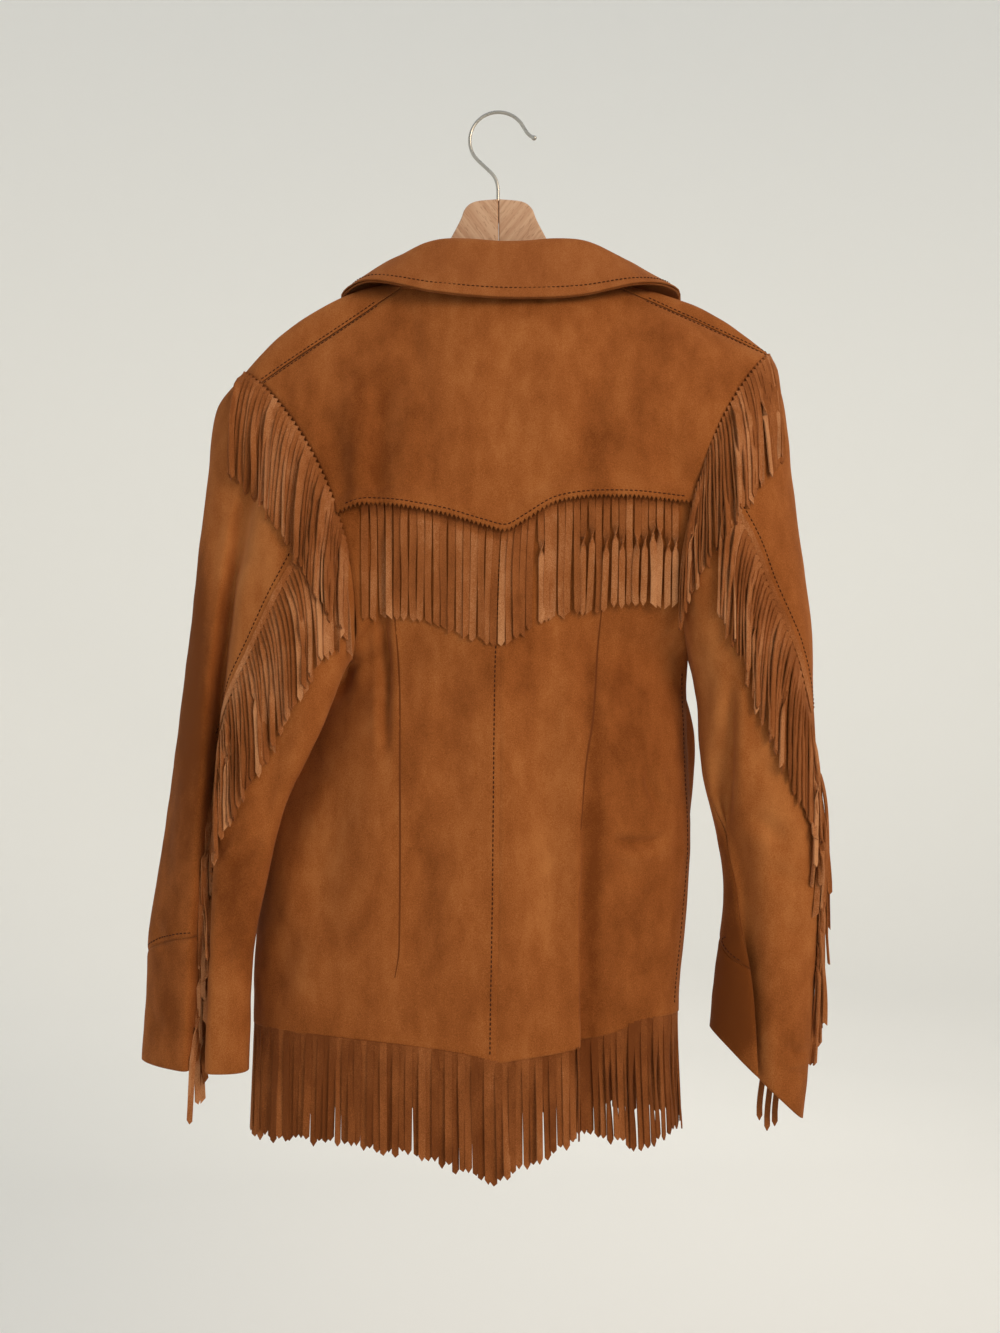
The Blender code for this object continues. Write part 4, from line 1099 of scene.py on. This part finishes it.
def collar_middle(along, share):
    """A point midway between the collar's layers: share 0 at the neck seam, 0.5 on the fold, 1 at the
    edge."""
    row = row_at(NECK, along)
    neck = Vector((row.x, row.y, row.z))
    fold = Vector((row.fold_x, row.fold_y, row.fold_z))
    edge = Vector((row.edge_x, row.edge_y, row.edge_z))
    up = (fold - (neck + edge) / 2).normalized()
    out = (edge - neck) - up * (edge - neck).dot(up)
    out = out.normalized() * FOLD_RADIUS
    inner_top = fold - out - up * FOLD_RADIUS
    outer_top = fold + out - up * FOLD_RADIUS
    start = neck.lerp(inner_top, min(COLLAR_CLEAR / (inner_top - neck).length, 0.5))
    leaf = outer_top.lerp(edge, 0.4) + up * LEAF_LIFT
    places = (start, start.lerp(inner_top, 0.5), inner_top, fold, outer_top, leaf, edge)
    found = row_at([CollarRow(s, *place) for s, place in zip(COLLAR_SHARES, places)], share)
    return Vector((found.x, found.y, found.z))


def collar(off, along, share):
    """The collar's middle moved off towards its upper layer."""
    low, high = max(share - COLLAR_STEP, 0), min(share + COLLAR_STEP, 1)
    left, right = max(along - COLLAR_STEP, -1), min(along + COLLAR_STEP, 1)
    down = collar_middle(along, high) - collar_middle(along, low)
    sideways = collar_middle(right, share) - collar_middle(left, share)
    return collar_middle(along, share) + down.cross(sideways).normalized() * off


def collar_layer(off, u, v):
    return collar(off, mix(-1, 1, u), v)


# Each layer is cut 0.095 m deep, and runs from front end to front end round the neck.
collar_suede = suede("edge-stitched collar suede", COLLAR_MID, COLLAR_DARK, COLLAR_LIGHT)
for name, sign in (("upper", 1), ("under", -1)):
    # The under layer's tone is set lower than the upper's: painted shade, for the shadow it lies in under the
    # leaf.
    look = {"finish": collar_suede, "edge": edge_suede, "swell": 0.8, "tone": 0.5 if sign > 0 else 0.3}
    point = partial(collar_layer, sign * (COLLAR_LAYER + COLLAR_SPLIT) / 2)
    obj = cloth(f"collar_{name}_layer", point, 150, 44, COLLAR_MIDDLE, look, COLLAR_LAYER)
    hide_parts(f"collar_{name}")


# The fringe: bands of the same suede, slit into narrow strips nearly up to the seam that holds them, and each
# strip cut to a point. Strips hang from their seam and lie on the cloth and on each other, and worn ones curl
# and turn on edge. The first band is caught under the yoke's edge.
STRIP_THICK = 1.25
FIELD_STEP, FIELD_FROM, FIELD_TO, FIELD_EMPTY = 2.0, (-330.0, -930.0), (330.0, -100.0), 1000.0
OUTSIDE_Y = 400
FRINGE_MID, FRINGE_DARK, FRINGE_LIGHT = "#96582D", "#6E3A17", "#C48A5E"
# How much further than its last row a strip's left corner, middle and right corner reach.
TIPS = ((0.0, 4.5, 0.0), (0.0, 4.0, 1.5), (1.5, 4.0, 0.0), (0.0, 2.2, 4.5), (4.5, 2.2, 0.0))
Hang = namedtuple("Hang", "share out drop")
# In millimetres, but for turn, in degrees, and curl and flip, the shares of strips worn or turned over.
Run = namedtuple("Run", "pitch width lift curl turn sway uneven pile fan root flip")
STEEPEST_OUT, STEEPEST_IN = 0.16, 0.45
SLANT_SPAN, SWING_OUT, SETTLE_OVER, MOST_TURNED = 3, 26, 12, 1.35
fringe_suede = suede("slit fringe suede", FRINGE_MID, FRINGE_DARK, FRINGE_LIGHT)


def cloth_tree(*names):
    """The middle surfaces of these pieces of cloth, to find places on."""
    verts, faces = [], []
    for name in names:
        grid, its_faces = surfaces[name]
        first = len(verts)
        verts.extend((grid.reshape(-1, 3) * MM).tolist())
        faces.extend([[first + i for i in face] for face in its_faces])
    return BVHTree.FromPolygons(verts, faces)


def lying_field(left_out=()):
    """The height, towards the back's side, of whatever cloth lies outermost over a grid of places."""
    tree = cloth_tree(*[name for name in surfaces if name not in left_out])
    columns, rows = (int((end - start) / FIELD_STEP) + 1 for start, end in zip(FIELD_FROM, FIELD_TO))
    made = np.full((columns, rows), FIELD_EMPTY)
    for i in range(columns):
        for j in range(rows):
            start = Vector((FIELD_FROM[0] + i * FIELD_STEP, -OUTSIDE_Y, FIELD_FROM[1] + j * FIELD_STEP)) * MM
            hit = tree.ray_cast(start, Vector((0, 1, 0)))[0]
            if hit is not None:
                made[i, j] = hit.y / MM - WALL / 2
    return made


bare_field = lying_field(("yoke_cloth",))
field = bare_field.copy()


def cells(x, z, half):
    """The part of the field that a strip this wide covers here."""
    low = int(round((x - half - FIELD_FROM[0]) / FIELD_STEP))
    high = int(round((x + half - FIELD_FROM[0]) / FIELD_STEP))
    row = int(round((z - FIELD_FROM[1]) / FIELD_STEP))
    return slice(max(low, 0), max(high, low) + 1), slice(max(row - 1, 0), row + 2)


def laid(xs, zs, halves, start_y, lift, pile):
    """Depths of a strip that hangs down past these places: on what is there, with no sharp bend in it. Strips
    settle between each other, so they never stand further than the pile's depth off the cloth."""
    wheres = [cells(x, z, half) for x, z, half in zip(xs, zs, halves)]
    ys = np.array([max(field[w].min(), min(bare_field[w].min(), start_y) - pile) for w in wheres]) - lift
    ys[0] = min(ys[0], start_y)
    for k in range(1, len(ys)):
        ys[k] = min(ys[k], ys[k - 1] + STEEPEST_OUT * (zs[k - 1] - zs[k]))
    for k in range(len(ys) - 2, -1, -1):
        ys[k] = min(ys[k], ys[k + 1] + STEEPEST_IN * (zs[k] - zs[k + 1]))
    eased_ys = ys.copy()
    eased_ys[1:-1] = np.minimum(ys[1:-1], (ys[:-2] + ys[1:-1] + ys[2:]) / 3 + 0.2)
    return eased_ys


def unit(rows):
    return rows / np.linalg.norm(rows, axis=1, keepdims=True)


def strip(made, path, sides, widths, cups, tip, tones):
    """Adds one strip along its path, its width lying along sides, slightly cupped, its end cut to the tip."""
    verts, faces, tone = made
    down = unit(np.gradient(path, axis=0))
    sides = unit(sides - down * (sides * down).sum(axis=1, keepdims=True))
    looks = np.cross(sides, down)
    first, last = len(verts), len(path) - 1
    for k in range(len(path)):
        half, thick = sides[k] * widths[k] / 2, looks[k] * STRIP_THICK / 2
        beyond = [down[k] * t if k == last else 0 for t in tip]
        left, right = path[k] - half + beyond[0], path[k] + half + beyond[2]
        middle = path[k] + looks[k] * cups[k] + beyond[1]
        verts += [left + thick, middle + thick, right + thick, right - thick, middle - thick, left - thick]
        tone += [tones[k]] * 6
        if k:
            a, b = first + 6 * (k - 1), first + 6 * k
            faces += [(a + i, a + (i + 1) % 6, b + (i + 1) % 6, b + i) for i in range(6)]
    faces.append(tuple(first + i for i in (5, 4, 3, 2, 1, 0)))
    end = first + 6 * last
    faces.append(tuple(end + i for i in range(6)))


def fringe_piece(name, made):
    verts, faces, tone = made
    obj = piece(name, verts, faces, fringe_suede)
    obj.data.set_sharp_from_angle(angle=math.radians(50))
    set_tone(obj, tone)
    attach(obj, "root")
    return obj


def lengths_along(line):
    """How far along a line each of its points is."""
    return np.pad(np.cumsum(np.linalg.norm(np.diff(line, axis=0), axis=1)), (1, 0))


def read_at(place, gone, line):
    """The points at this length, or at these lengths, along a line."""
    return np.stack([np.interp(place, gone, column) for column in line.T], axis=-1)


def run_of_fringe(made, seam, hangs, run, seed, rings=14):
    """Adds a run of strips along seam(share), from share 0 to 1. They are laid from the seam's low end up.
    Where the seam is steep they lie turned a little, each with one edge over its neighbour, like shingles."""
    dice = np.random.default_rng(seed)
    line = np.array([tuple(seam(share)) for share in np.linspace(0, 1, 240)])
    gone = lengths_along(line)
    count = int(gone[-1] / run.pitch)
    places = [(k + 0.5) / count for k in range(count)]
    if line[0, 2] > line[-1, 2]:
        places.reverse()
    for share in places:
        behind, at, ahead = read_at(share * gone[-1] + np.array([-SLANT_SPAN, 0, SLANT_SPAN]), gone, line)
        along_seam = (ahead - behind) / np.linalg.norm(ahead - behind)
        if along_seam[0] < 0:
            along_seam = -along_seam
        room = run.pitch * max(abs(along_seam[0]), 0.3)
        shingled = math.asin(min(STRIP_THICK * 1.25 / room, 0.8)) if room < run.width else 0.04
        hang = row_at(hangs, share)
        drop = hang.drop + dice.uniform(-run.uneven, run.uneven)
        s = np.linspace(0, 1, rings)
        fall = s * drop
        worn = dice.uniform() < run.curl
        drift = dice.normal(0, run.sway) + (dice.normal(0, run.sway) if worn else 0)
        turn_end = dice.normal(0, run.turn) * (2.4 if worn else 1.0)
        turned = turn_end * eased((s - dice.uniform(0.1, 0.45)) / 0.6) * math.pi / 180
        turned = np.clip(turned - shingled, -MOST_TURNED, MOST_TURNED)
        # Some strips turn over about a third of the way down, and show their paler flesh side from there on.
        flipped = eased((s - dice.uniform(0.22, 0.34)) / 0.26) * (dice.uniform() < run.flip)
        turned = turned + flipped * math.pi * (1 if dice.uniform() < 0.8 else -1)
        swung = hang.out * dice.uniform(1 - run.fan, 1) * (1 - np.exp(-fall / SWING_OUT))
        xs = at[0] + swung + drift * s**1.6
        xs += dice.uniform(-0.8, 0.8) * np.sin(s * dice.uniform(3, 7))
        zs = at[2] - fall
        widths = run.width * (1 - 0.06 * s) * dice.uniform(0.94, 1.03)
        halves = widths / 2 * np.abs(np.cos(turned))
        lifts = run.lift + STRIP_THICK / 2 + widths / 2 * np.abs(np.sin(turned))
        lifts = lifts + (dice.uniform(0, 2.5) * s if worn else 0)
        ys = laid(xs, zs, halves * 0.35, at[1] - run.lift, lifts, dice.uniform(*run.pile))
        settle = eased((fall - run.root) / SETTLE_OVER)
        ys = (at[1] - run.lift - STRIP_THICK / 2) * (1 - settle) + ys * settle
        flat = np.stack([np.cos(turned), -np.sin(turned), 0 * turned], axis=1)
        sides = along_seam * (1 - settle[:, None]) + flat * settle[:, None]
        cups = dice.uniform(-0.3, 1.0) * eased(s / 0.5) * (1 + worn)
        shade = dice.uniform(0.3, 0.6) + (dice.uniform(0.08, 0.34) if worn else 0) * s + 0.28 * flipped
        # Strips caught under the yoke's edge, those with a root, are painted darker for their first 4 to 14
        # mm, as the shadow of the edge over them.
        shade = shade - 0.5 * (run.root > 0) * (1 - eased((fall - 4) / 10))
        tip = TIPS[dice.integers(len(TIPS))]
        strip(made, np.stack([xs, ys, zs], axis=1), sides, widths, cups, tip, shade)
        if worn:
            for x, y, z, half in zip(xs, ys, zs, halves):
                where = cells(x, z, half * 0.5)
                field[where] = np.minimum(field[where], y - STRIP_THICK / 2)


# Bands are cut 0.10 m deep, of which the strips take up to 0.098 m. The yoke's strips lie still on its left
# side, and most of those on its right have turned over.
YOKE_FROM, YOKE_TURN_AT, YOKE_TO = 0.07, 0.56, 0.955
YOKE_ROOT_UP = 1.5
YOKE_RUN_LEFT = Run(6.6, 5.9, 0.7, 0.1, 6, 0.5, 1.8, (1, 3), 0, 5, 0.0)
YOKE_RUN_RIGHT = Run(6.3, 5.6, 0.7, 0.2, 8, 1.0, 2.4, (1, 4), 0, 5, 0.8)
YOKE_HANGS_LEFT = (Hang(0, 0, 98), Hang(0.3, 0, 96), Hang(0.6, -1, 98), Hang(0.8, -4, 98), Hang(1, -5, 98))
YOKE_HANGS_RIGHT = (Hang(0, 0, 96), Hang(0.3, 0, 98), Hang(0.7, 0, 92), Hang(1, 0, 88))


def yoke_root(low, high, share):
    """Where the yoke's band is caught, just above its edge."""
    return yoke_seam(mix(low, high, share)) + Vector((0, 0, YOKE_ROOT_UP))


made = ([], [], [])
run_of_fringe(made, partial(yoke_root, YOKE_FROM, YOKE_TURN_AT), YOKE_HANGS_LEFT, YOKE_RUN_LEFT, 11)
run_of_fringe(made, partial(yoke_root, YOKE_TURN_AT, YOKE_TO), YOKE_HANGS_RIGHT, YOKE_RUN_RIGHT, 12)
yoke_fringe = fringe_piece("yoke_fringe_strips", made)
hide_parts("fringe_yoke")
whole_field = lying_field()
bare_field[:], field[:] = np.minimum(bare_field, whole_field), np.minimum(field, whole_field)


# The sleeve fringe is caught in the slanted upper stretch of the hind-arm seam, and goes on down the forearm.
SLEEVE_FRINGE = {"left": (0.02, 0.47), "right": (0.08, 0.47)}
FOREARM_REACH = {"left": (0.47, 0.92), "right": (0.47, 0.82)}
# The right forearm's band is caught a little inside the sleeve's edge.
FOREARM_TUCK = {"left": Vector((0, 0, 0)), "right": Vector((-3.5, -1, 0))}
SLEEVE_RUN = Run(5.6, 5.2, 0.8, 0.3, 12, 1.2, 3.0, (1, 4), 0.2, 0, 0.1)
FOREARM_RUN = Run(6.0, 5.0, 0.6, 0.4, 22, 2.4, 6.0, (1, 8), 0.9, 0, 0.1)
SLEEVE_HANGS = {
    "left": (Hang(0, 15, 92), Hang(0.3, 16, 92), Hang(0.7, 10, 92), Hang(1, 2, 92)),
    "right": (Hang(0, -8, 92), Hang(0.3, -13, 94), Hang(0.7, -13, 94), Hang(0.9, -4, 94), Hang(1, 8, 92)),
}
FOREARM_HANGS = {
    "left": (Hang(0, 0, 92), Hang(0.5, -4, 90), Hang(1, -6, 90)),
    "right": (Hang(0, 18, 92), Hang(0.3, 13, 92), Hang(0.6, 7, 92), Hang(1, 2, 90)),
}
# The three lowest strips on the right have slipped inside the cuff, and their ends show under its hem.
SLIPPED_FROM, SLIPPED_ALONG, SLIPPED_RINGS = -800.0, 0.96, 10
SLIPPED_IN = ((224.0, -868.0), (230.5, -877.0), (237.0, -873.0))


def hind_seam(side, low, high, share):
    """The hind-arm seam between two places along the sleeve."""
    along = mix(low, high, share)
    return sleeve_point(side, along, row_at(SLEEVES[side], along).hind)


def forearm_root(side, low, high, share):
    return hind_seam(side, low, high, share) + FOREARM_TUCK[side]


for seed, side in ((21, "left"), (22, "right")):
    forearm = partial(forearm_root, side, *FOREARM_REACH[side])
    sleeve = partial(hind_seam, side, *SLEEVE_FRINGE[side])
    for place, seam, hangs, run in (
        ("forearm", forearm, FOREARM_HANGS[side], FOREARM_RUN),
        ("sleeve", sleeve, SLEEVE_HANGS[side], SLEEVE_RUN),
    ):
        made = ([], [], [])
        run_of_fringe(made, seam, hangs, run, seed)
        for x, foot in SLIPPED_IN if (place, side) == ("forearm", "right") else ():
            s = np.linspace(0, 1, SLIPPED_RINGS)
            y = row_at(SLEEVES[side], SLIPPED_ALONG).outer_y
            line = np.stack([x + 2 * np.sin(s * 5), y + 0 * s, mix(SLIPPED_FROM, foot, s)], axis=1)
            flat = np.tile((1.0, 0.3, 0.0), (SLIPPED_RINGS, 1))
            strip(made, line, flat, np.full(SLIPPED_RINGS, run.width), 0.5 * s, TIPS[0], 0.3 + 0 * s)
        obj = fringe_piece(f"{place}_fringe_{side}", made)
        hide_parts(f"fringe_{place}_{side}")


# The armhole fringe is caught in the seam that joins the sleeve to the back.
ARMHOLE_FRINGE = {"left": (-3, 112), "right": (0, 104)}
ARMHOLE_RUN = Run(5.5, 5.1, 0.8, 0.3, 12, 1.2, 2.5, (1, 5), 0.1, 0, 0.08)
ARMHOLE_HANGS = {
    "left": (Hang(0, -6, 92), Hang(0.3, -9, 92), Hang(0.6, -8, 92), Hang(0.85, -4, 84), Hang(1, 0, 70)),
    "right": (Hang(0, 6, 92), Hang(0.25, 9, 92), Hang(0.5, 3, 92), Hang(0.75, -6, 92), Hang(1, -9, 86)),
}


def armhole_root(side, share):
    return armhole(side, mix(*ARMHOLE_FRINGE[side], share))


for seed, side in ((41, "left"), (42, "right")):
    made = ([], [], [])
    run_of_fringe(made, partial(armhole_root, side), ARMHOLE_HANGS[side], ARMHOLE_RUN, seed)
    obj = fringe_piece(f"armhole_fringe_{side}", made)
    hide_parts(f"fringe_armhole_{side}")


# The hem fringe is no band of its own: the hem of each back and front is slit upwards into strips, which hang
# where the panel would. On the right back many of them have turned on edge halfway down.
HEM_PITCH, HEM_WIDTH, HEM_SWAY, HEM_UNEVEN = 5.5, 6.0, 0.6, 3.5
HEM_WORN, HEM_LEAN, HEM_RINGS = 0.22, 1.4, 12
HEM_TWISTED, TWIST_REACH = 0.6, 0.6
SIDEWAYS_STEP, STARTS_ABOVE = 0.02, 0.002


def hem_strips(name, point, cut, seed, facing, twisted):
    """A panel's slit hem. On the back (facing -1) or the front (1), a share of the strips is twisted."""
    dice = np.random.default_rng(seed)
    us = np.linspace(0, 1, 60)
    gone = lengths_along(np.array([tuple(point(u, cut(u))) for u in us]))
    count = int(gone[-1] / HEM_PITCH)
    made = ([], [], [])
    s = np.linspace(0, 1, HEM_RINGS)
    for k in range(count):
        u = float(np.interp((k + (0.5 if facing < 0 else 0.97)) / count * gone[-1], gone, us))
        worn = dice.uniform() < HEM_WORN
        start = cut(u)
        vs = [mix(start, 1.0, share) for share in s]
        line = np.array([tuple(point(u, v - STARTS_ABOVE)) for v in vs])
        ahead = np.array([tuple(point(min(u + SIDEWAYS_STEP, 1), v)) for v in vs])
        behind = np.array([tuple(point(max(u - SIDEWAYS_STEP, 0), v)) for v in vs])
        sides = unit(ahead - behind)
        sides *= 1 if sides[0, 0] > 0 else -1
        line[:, 2] += s * dice.uniform(-HEM_UNEVEN, HEM_UNEVEN)
        line[:, 0] += dice.normal(0, HEM_SWAY) * s**1.5
        line[:, 1] += facing * (np.abs(dice.normal(0, HEM_LEAN)) + (2.5 if worn else 0)) * s**1.5
        line[:, 1] += facing * (k % 2) * STRIP_THICK * eased(s / 0.2)
        turned = dice.normal(-13, 6) * (2.0 if worn else 1) * eased((s - 0.05) / 0.6) * math.pi / 180
        edge_on = dice.uniform() < twisted * (u < TWIST_REACH)
        swing = np.exp(-(((s - dice.uniform(0.5, 0.62)) / 0.3) ** 2)) * edge_on
        turned = turned - swing * dice.uniform(0.8, 1.15)
        line[:, 0] -= swing * dice.uniform(0.4, 1.6)
        across = np.cos(turned)[:, None] * sides + np.sin(turned)[:, None] * np.array([0, -1.0, 0])
        widths = HEM_WIDTH * (1 - 0.03 * s)
        shade = dice.uniform(0.02, 0.34) + (0.2 if worn else 0) * s
        strip(made, line, across, widths, dice.uniform(-0.4, 0.8) * s, TIPS[dice.integers(3)], shade)
    return fringe_piece(name, made)


for seed, side in ((51, "left"), (52, "right")):
    twisted = HEM_TWISTED if side == "right" else 0.0
    for place, point, flat, its_seed, facing, twist in (
        ("back", lower_back, BACK_FLATS[side], seed, -1, twisted),
        ("front", front, FRONT_FLATS[side], seed + 10, 1, 0.0),
    ):
        cut = hem_cuts[f"{place}_{side}"]
        obj = hem_strips(f"hem_fringe_{place}_{side}", partial(point, side), cut, its_seed, facing, twist)


# The seams: every seam is machine-sewn in waxed thread. The yoke's edge, the shoulders, the centre back, the
# collar's edge and the hind-arm seams are topstitched, and a lapped band of suede covers the fringe's root on
# each hind-arm seam.
STITCH_PITCH, STITCH_LONG, THREAD = 4.0, 2.8, 0.55
# The second colour is painted shade, for the grooves of the thread's twist.
THREAD_COLOUR, TWIST_SHADE_COLOUR = "#4E2408", "#281003"
STITCH_SHAPE = ((0.0, 0.3), (0.18, 0.9), (0.5, 1.0), (0.82, 0.9), (1.0, 0.3))
BAND_WIDE, BAND_THICK = 4.8, 1.4
Place = namedtuple("Place", "share x z")
DART_LEFT = table(
    Place,
    (0.0, -86.7, -445), (0.25, -82.5, -526), (0.92, -82.5, -721), (1.0, -86, -745),
)
DART_RIGHT = table(
    Place,
    (0.0, 87, -436), (0.45, 79.5, -526), (0.7, 73, -566), (1.0, 68, -622),
)


def on_cloth(tree, x, z, side=-1):
    """The cloth's outer face at this place and the way it looks, from the back (-1) or the front (1)."""
    hit, normal = tree.ray_cast(Vector((x, OUTSIDE_Y * side, z)) * MM, Vector((0, -side, 0)))[:2]
    if hit is None:
        return None
    normal = np.array(normal) * (1 if normal.y * side > 0 else -1)
    return np.array(hit) / MM + normal * WALL / 2, normal


def evenly(points, looks, pitch):
    """A line's points moved to an even pitch, with the way the cloth looks at each."""
    gone = lengths_along(points)
    at = np.arange(0, gone[-1], pitch)
    return read_at(at, gone, points), read_at(at, gone, looks)


def run_on(tree, places, pitch, side=-1):
    """Points at an even pitch along a line of (x, z) places on the cloth, and the way it looks at each."""
    found = [found for found in (on_cloth(tree, x, z, side) for x, z in places) if found is not None]
    return evenly(np.array([point for point, _ in found]), np.array([look for _, look in found]), pitch)


def beside(seam, off, count=60):
    """(x, z) places along a seam, moved off it to its left as it runs."""
    line = np.array([tuple(seam(k / count)) for k in range(count + 1)])
    ahead = np.gradient(line, axis=0)
    reach = np.hypot(ahead[:, 0], ahead[:, 2])
    return [(x - off * dz / r, z + off * dx / r) for (x, _, z), (dx, _, dz), r in zip(line, ahead, reach)]


def stitched(made, points, looks):
    """Lays a row of stitches, each a short plump capsule half sunk in the suede."""
    verts, faces, tone = made
    for k in range(len(points) - 1):
        run = points[k + 1] - points[k]
        run = run / np.linalg.norm(run)
        out = looks[k] - run * looks[k].dot(run)
        out /= np.linalg.norm(out)
        across = np.cross(run, out)
        first = len(verts)
        for along, radius in STITCH_SHAPE:
            centre = points[k] + run * STITCH_LONG * along + out * (THREAD * 0.35 * (radius - 0.4))
            for i in range(6):
                angle = math.pi / 3 * i
                verts.append(centre + (across * math.cos(angle) + out * math.sin(angle)) * THREAD * radius)
                tone.append(0.5)
        for j in range(4):
            a = first + 6 * j
            faces += [(a + i, a + (i + 1) % 6, a + 6 + (i + 1) % 6, a + 6 + i) for i in range(6)]
        faces += [tuple(first + i for i in (5, 4, 3, 2, 1, 0)), tuple(first + 24 + i for i in range(6))]


def waxed_thread():
    """Waxed polyester thread: a dark tan that stands out from the suede, dull, with a twist 0.8 mm long whose
    grooves are painted near black as the shade in them.
    """
    made, tree, out = blank("waxed tan thread")
    spot = add(tree, "ShaderNodeTexCoord", {}, {})
    twist = add(tree, "ShaderNodeTexNoise", {}, {0: spot.outputs["Object"], "Scale": 1200.0, "Detail": 2.0})
    colour = add(tree, "ShaderNodeValToRGB", {}, {0: twist.outputs[0]})
    colour.color_ramp.elements[0].position, colour.color_ramp.elements[0].color = 0.3, linear(TWIST_SHADE_COLOUR)
    colour.color_ramp.elements[1].position, colour.color_ramp.elements[1].color = 0.6, linear(THREAD_COLOUR)
    shader = add(
        tree,
        "ShaderNodeBsdfPrincipled",
        {},
        {"Base Color": colour.outputs[0], "Roughness": 0.85, "Specular IOR Level": 0.2},
    )
    tree.links.new(shader.outputs[0], out.inputs[0])
    return made


thread = waxed_thread()
back_tree = cloth_tree("lower_back_left", "lower_back_right", "yoke_cloth")
yoke_tree = cloth_tree("yoke_cloth")
front_tree = cloth_tree("front_panel_left", "front_panel_right")
shoulder_tree = cloth_tree("yoke_cloth", "front_panel_left", "front_panel_right")


def sewn(name, rows):
    """One joined piece of stitching from several rows of points and looks."""
    made = ([], [], [])
    for points, looks in rows:
        stitched(made, points, looks)
    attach(piece(name, made[0], made[1], thread), "root")


def places_of(rows, count=40):
    found = [row_at(rows, k / count) for k in range(count + 1)]
    return [(f.x, f.z) for f in found]


def stitched_yoke_edge(share):
    return yoke_seam(mix(0.03, 0.975, share))


def stitched_shoulder(side, share):
    return shoulder_seam(side, mix(0.02, 0.82, share))


def stitched_centre_back(v):
    return centre_back(mix(0.05, 0.81, v))


def stitched_side(v):
    """The right lower back is turned under and topstitched beside its side seam."""
    return seam_level(SIDE_SEAMS["right"], mix(-492, -782, v)) + Vector((-5.5, 0, 0))


def stitched_opening(side, v):
    return seam_level(FRONT_EDGES[side], mix(-268, -790, v)) + Vector((side_sign(side) * 6, 0, 0))


sewn("yoke_stitching", [run_on(yoke_tree, beside(stitched_yoke_edge, 1.2), STITCH_PITCH)])
shoulder_rows = [
    run_on(shoulder_tree, beside(partial(stitched_shoulder, side), off), STITCH_PITCH)
    for side in ("left", "right")
    for off in (-2.2, 2.4)
]
sewn("shoulder_stitching", shoulder_rows)
back_rows = [
    run_on(back_tree, beside(seam, off), STITCH_PITCH)
    for seam, off in ((stitched_centre_back, -5.0), (stitched_side, 0.0))
]
sewn("back_stitching", back_rows)
openings = [beside(partial(stitched_opening, side), 0.0) for side in ("left", "right")]
front_rows = [run_on(front_tree, opening, STITCH_PITCH, 1) for opening in openings]
sewn("front_stitching", front_rows)

# The collar's row runs near its outer edge, on the upper layer.
COLLAR_ROW, COLLAR_ROW_END, COLLAR_ROW_STEPS = 0.93, 0.985, 400
points, looks = [], []
for k in range(COLLAR_ROW_STEPS + 1):
    along = mix(-COLLAR_ROW_END, COLLAR_ROW_END, k / COLLAR_ROW_STEPS)
    spot = collar((COLLAR_LAYER + COLLAR_SPLIT) / 2 + COLLAR_LAYER / 2, along, COLLAR_ROW)
    below = collar(-(COLLAR_LAYER + COLLAR_SPLIT) / 2, along, COLLAR_ROW)
    points.append(spot)
    looks.append((spot - below).normalized())
sewn("collar_stitching", [evenly(np.array(points), np.array(looks), STITCH_PITCH)])


def laid_flat(made, points, looks, off, widths, cup, tone):
    """Adds a narrow strip that lies along a line on the cloth, this far off it."""
    sides = np.cross(unit(np.gradient(points, axis=0)), looks)
    cups, tones = np.full(len(points), cup), np.full(len(points), tone)
    strip(made, points + looks * off, sides, widths, cups, (0, 0, 0), tones)


# On each sleeve, the band over the fringe's root with a row beside it, and part of the cuff's seam.
BAND_REACH = {"left": (0.01, 0.50), "right": (0.02, 0.47)}
BAND_OFF = {"left": -BAND_WIDE / 2, "right": BAND_WIDE / 2}
BAND_PITCH, BAND_RISE, BAND_CUP, BAND_TONE, ROW_OFF = 4.0, 0.7, 0.15, 0.55, 3.6
CUFF_ROW = {"left": (0.04, 0.33), "right": (0.70, 0.97)}
CUFF_ROW_UP, CUFF_ROW_STEPS = 0.008, 60
for side in ("left", "right"):
    sleeve_tree = cloth_tree(f"top_sleeve_{side}", f"under_sleeve_{side}")
    seam, off = partial(hind_seam, side, *BAND_REACH[side]), BAND_OFF[side]
    points, looks = run_on(sleeve_tree, beside(seam, off), BAND_PITCH)
    made = ([], [], [])
    widths = np.full(len(points), BAND_WIDE)
    laid_flat(made, points, looks, BAND_THICK * BAND_RISE, widths, BAND_CUP, BAND_TONE)
    fringe_piece(f"seam_band_{side}", made)
    cuff_line = []
    for k in range(CUFF_ROW_STEPS + 1):
        u = mix(*CUFF_ROW[side], k / CUFF_ROW_STEPS)
        row = row_at(SLEEVES[side], cuff_joint(side, u) - CUFF_ROW_UP)
        point = sleeve_point(side, row.along, mix(row.hind, row.fore - 360, u))
        cuff_line.append((point.x, point.z))
    lines = (beside(seam, off * ROW_OFF), cuff_line)
    sewn(f"sleeve_stitching_{side}", [run_on(sleeve_tree, line, STITCH_PITCH) for line in lines])

# Thin dark strips painted as the shade in the creases of the two darts and of the right cuff's seam, which
# the loop above leaves here. Each is narrowest at its ends and lies sunk in the cloth.
LINE_WIDE, LINE_END, LINE_SHOWS, SHADE_LINE_TONE = 1.7, 0.12, 0.12, -0.8
made = ([], [], [])
for tree, line in (
    (back_tree, places_of(DART_LEFT)),
    (back_tree, places_of(DART_RIGHT)),
    (sleeve_tree, cuff_line),
):
    points, looks = run_on(tree, line, BAND_PITCH)
    widths = LINE_WIDE * np.sin(np.linspace(LINE_END, math.pi - LINE_END, len(points))) ** 0.3
    laid_flat(made, points, looks, LINE_SHOWS - STRIP_THICK / 2, widths, 0.0, SHADE_LINE_TONE)
fringe_piece("painted_crease_shade_lines", made)
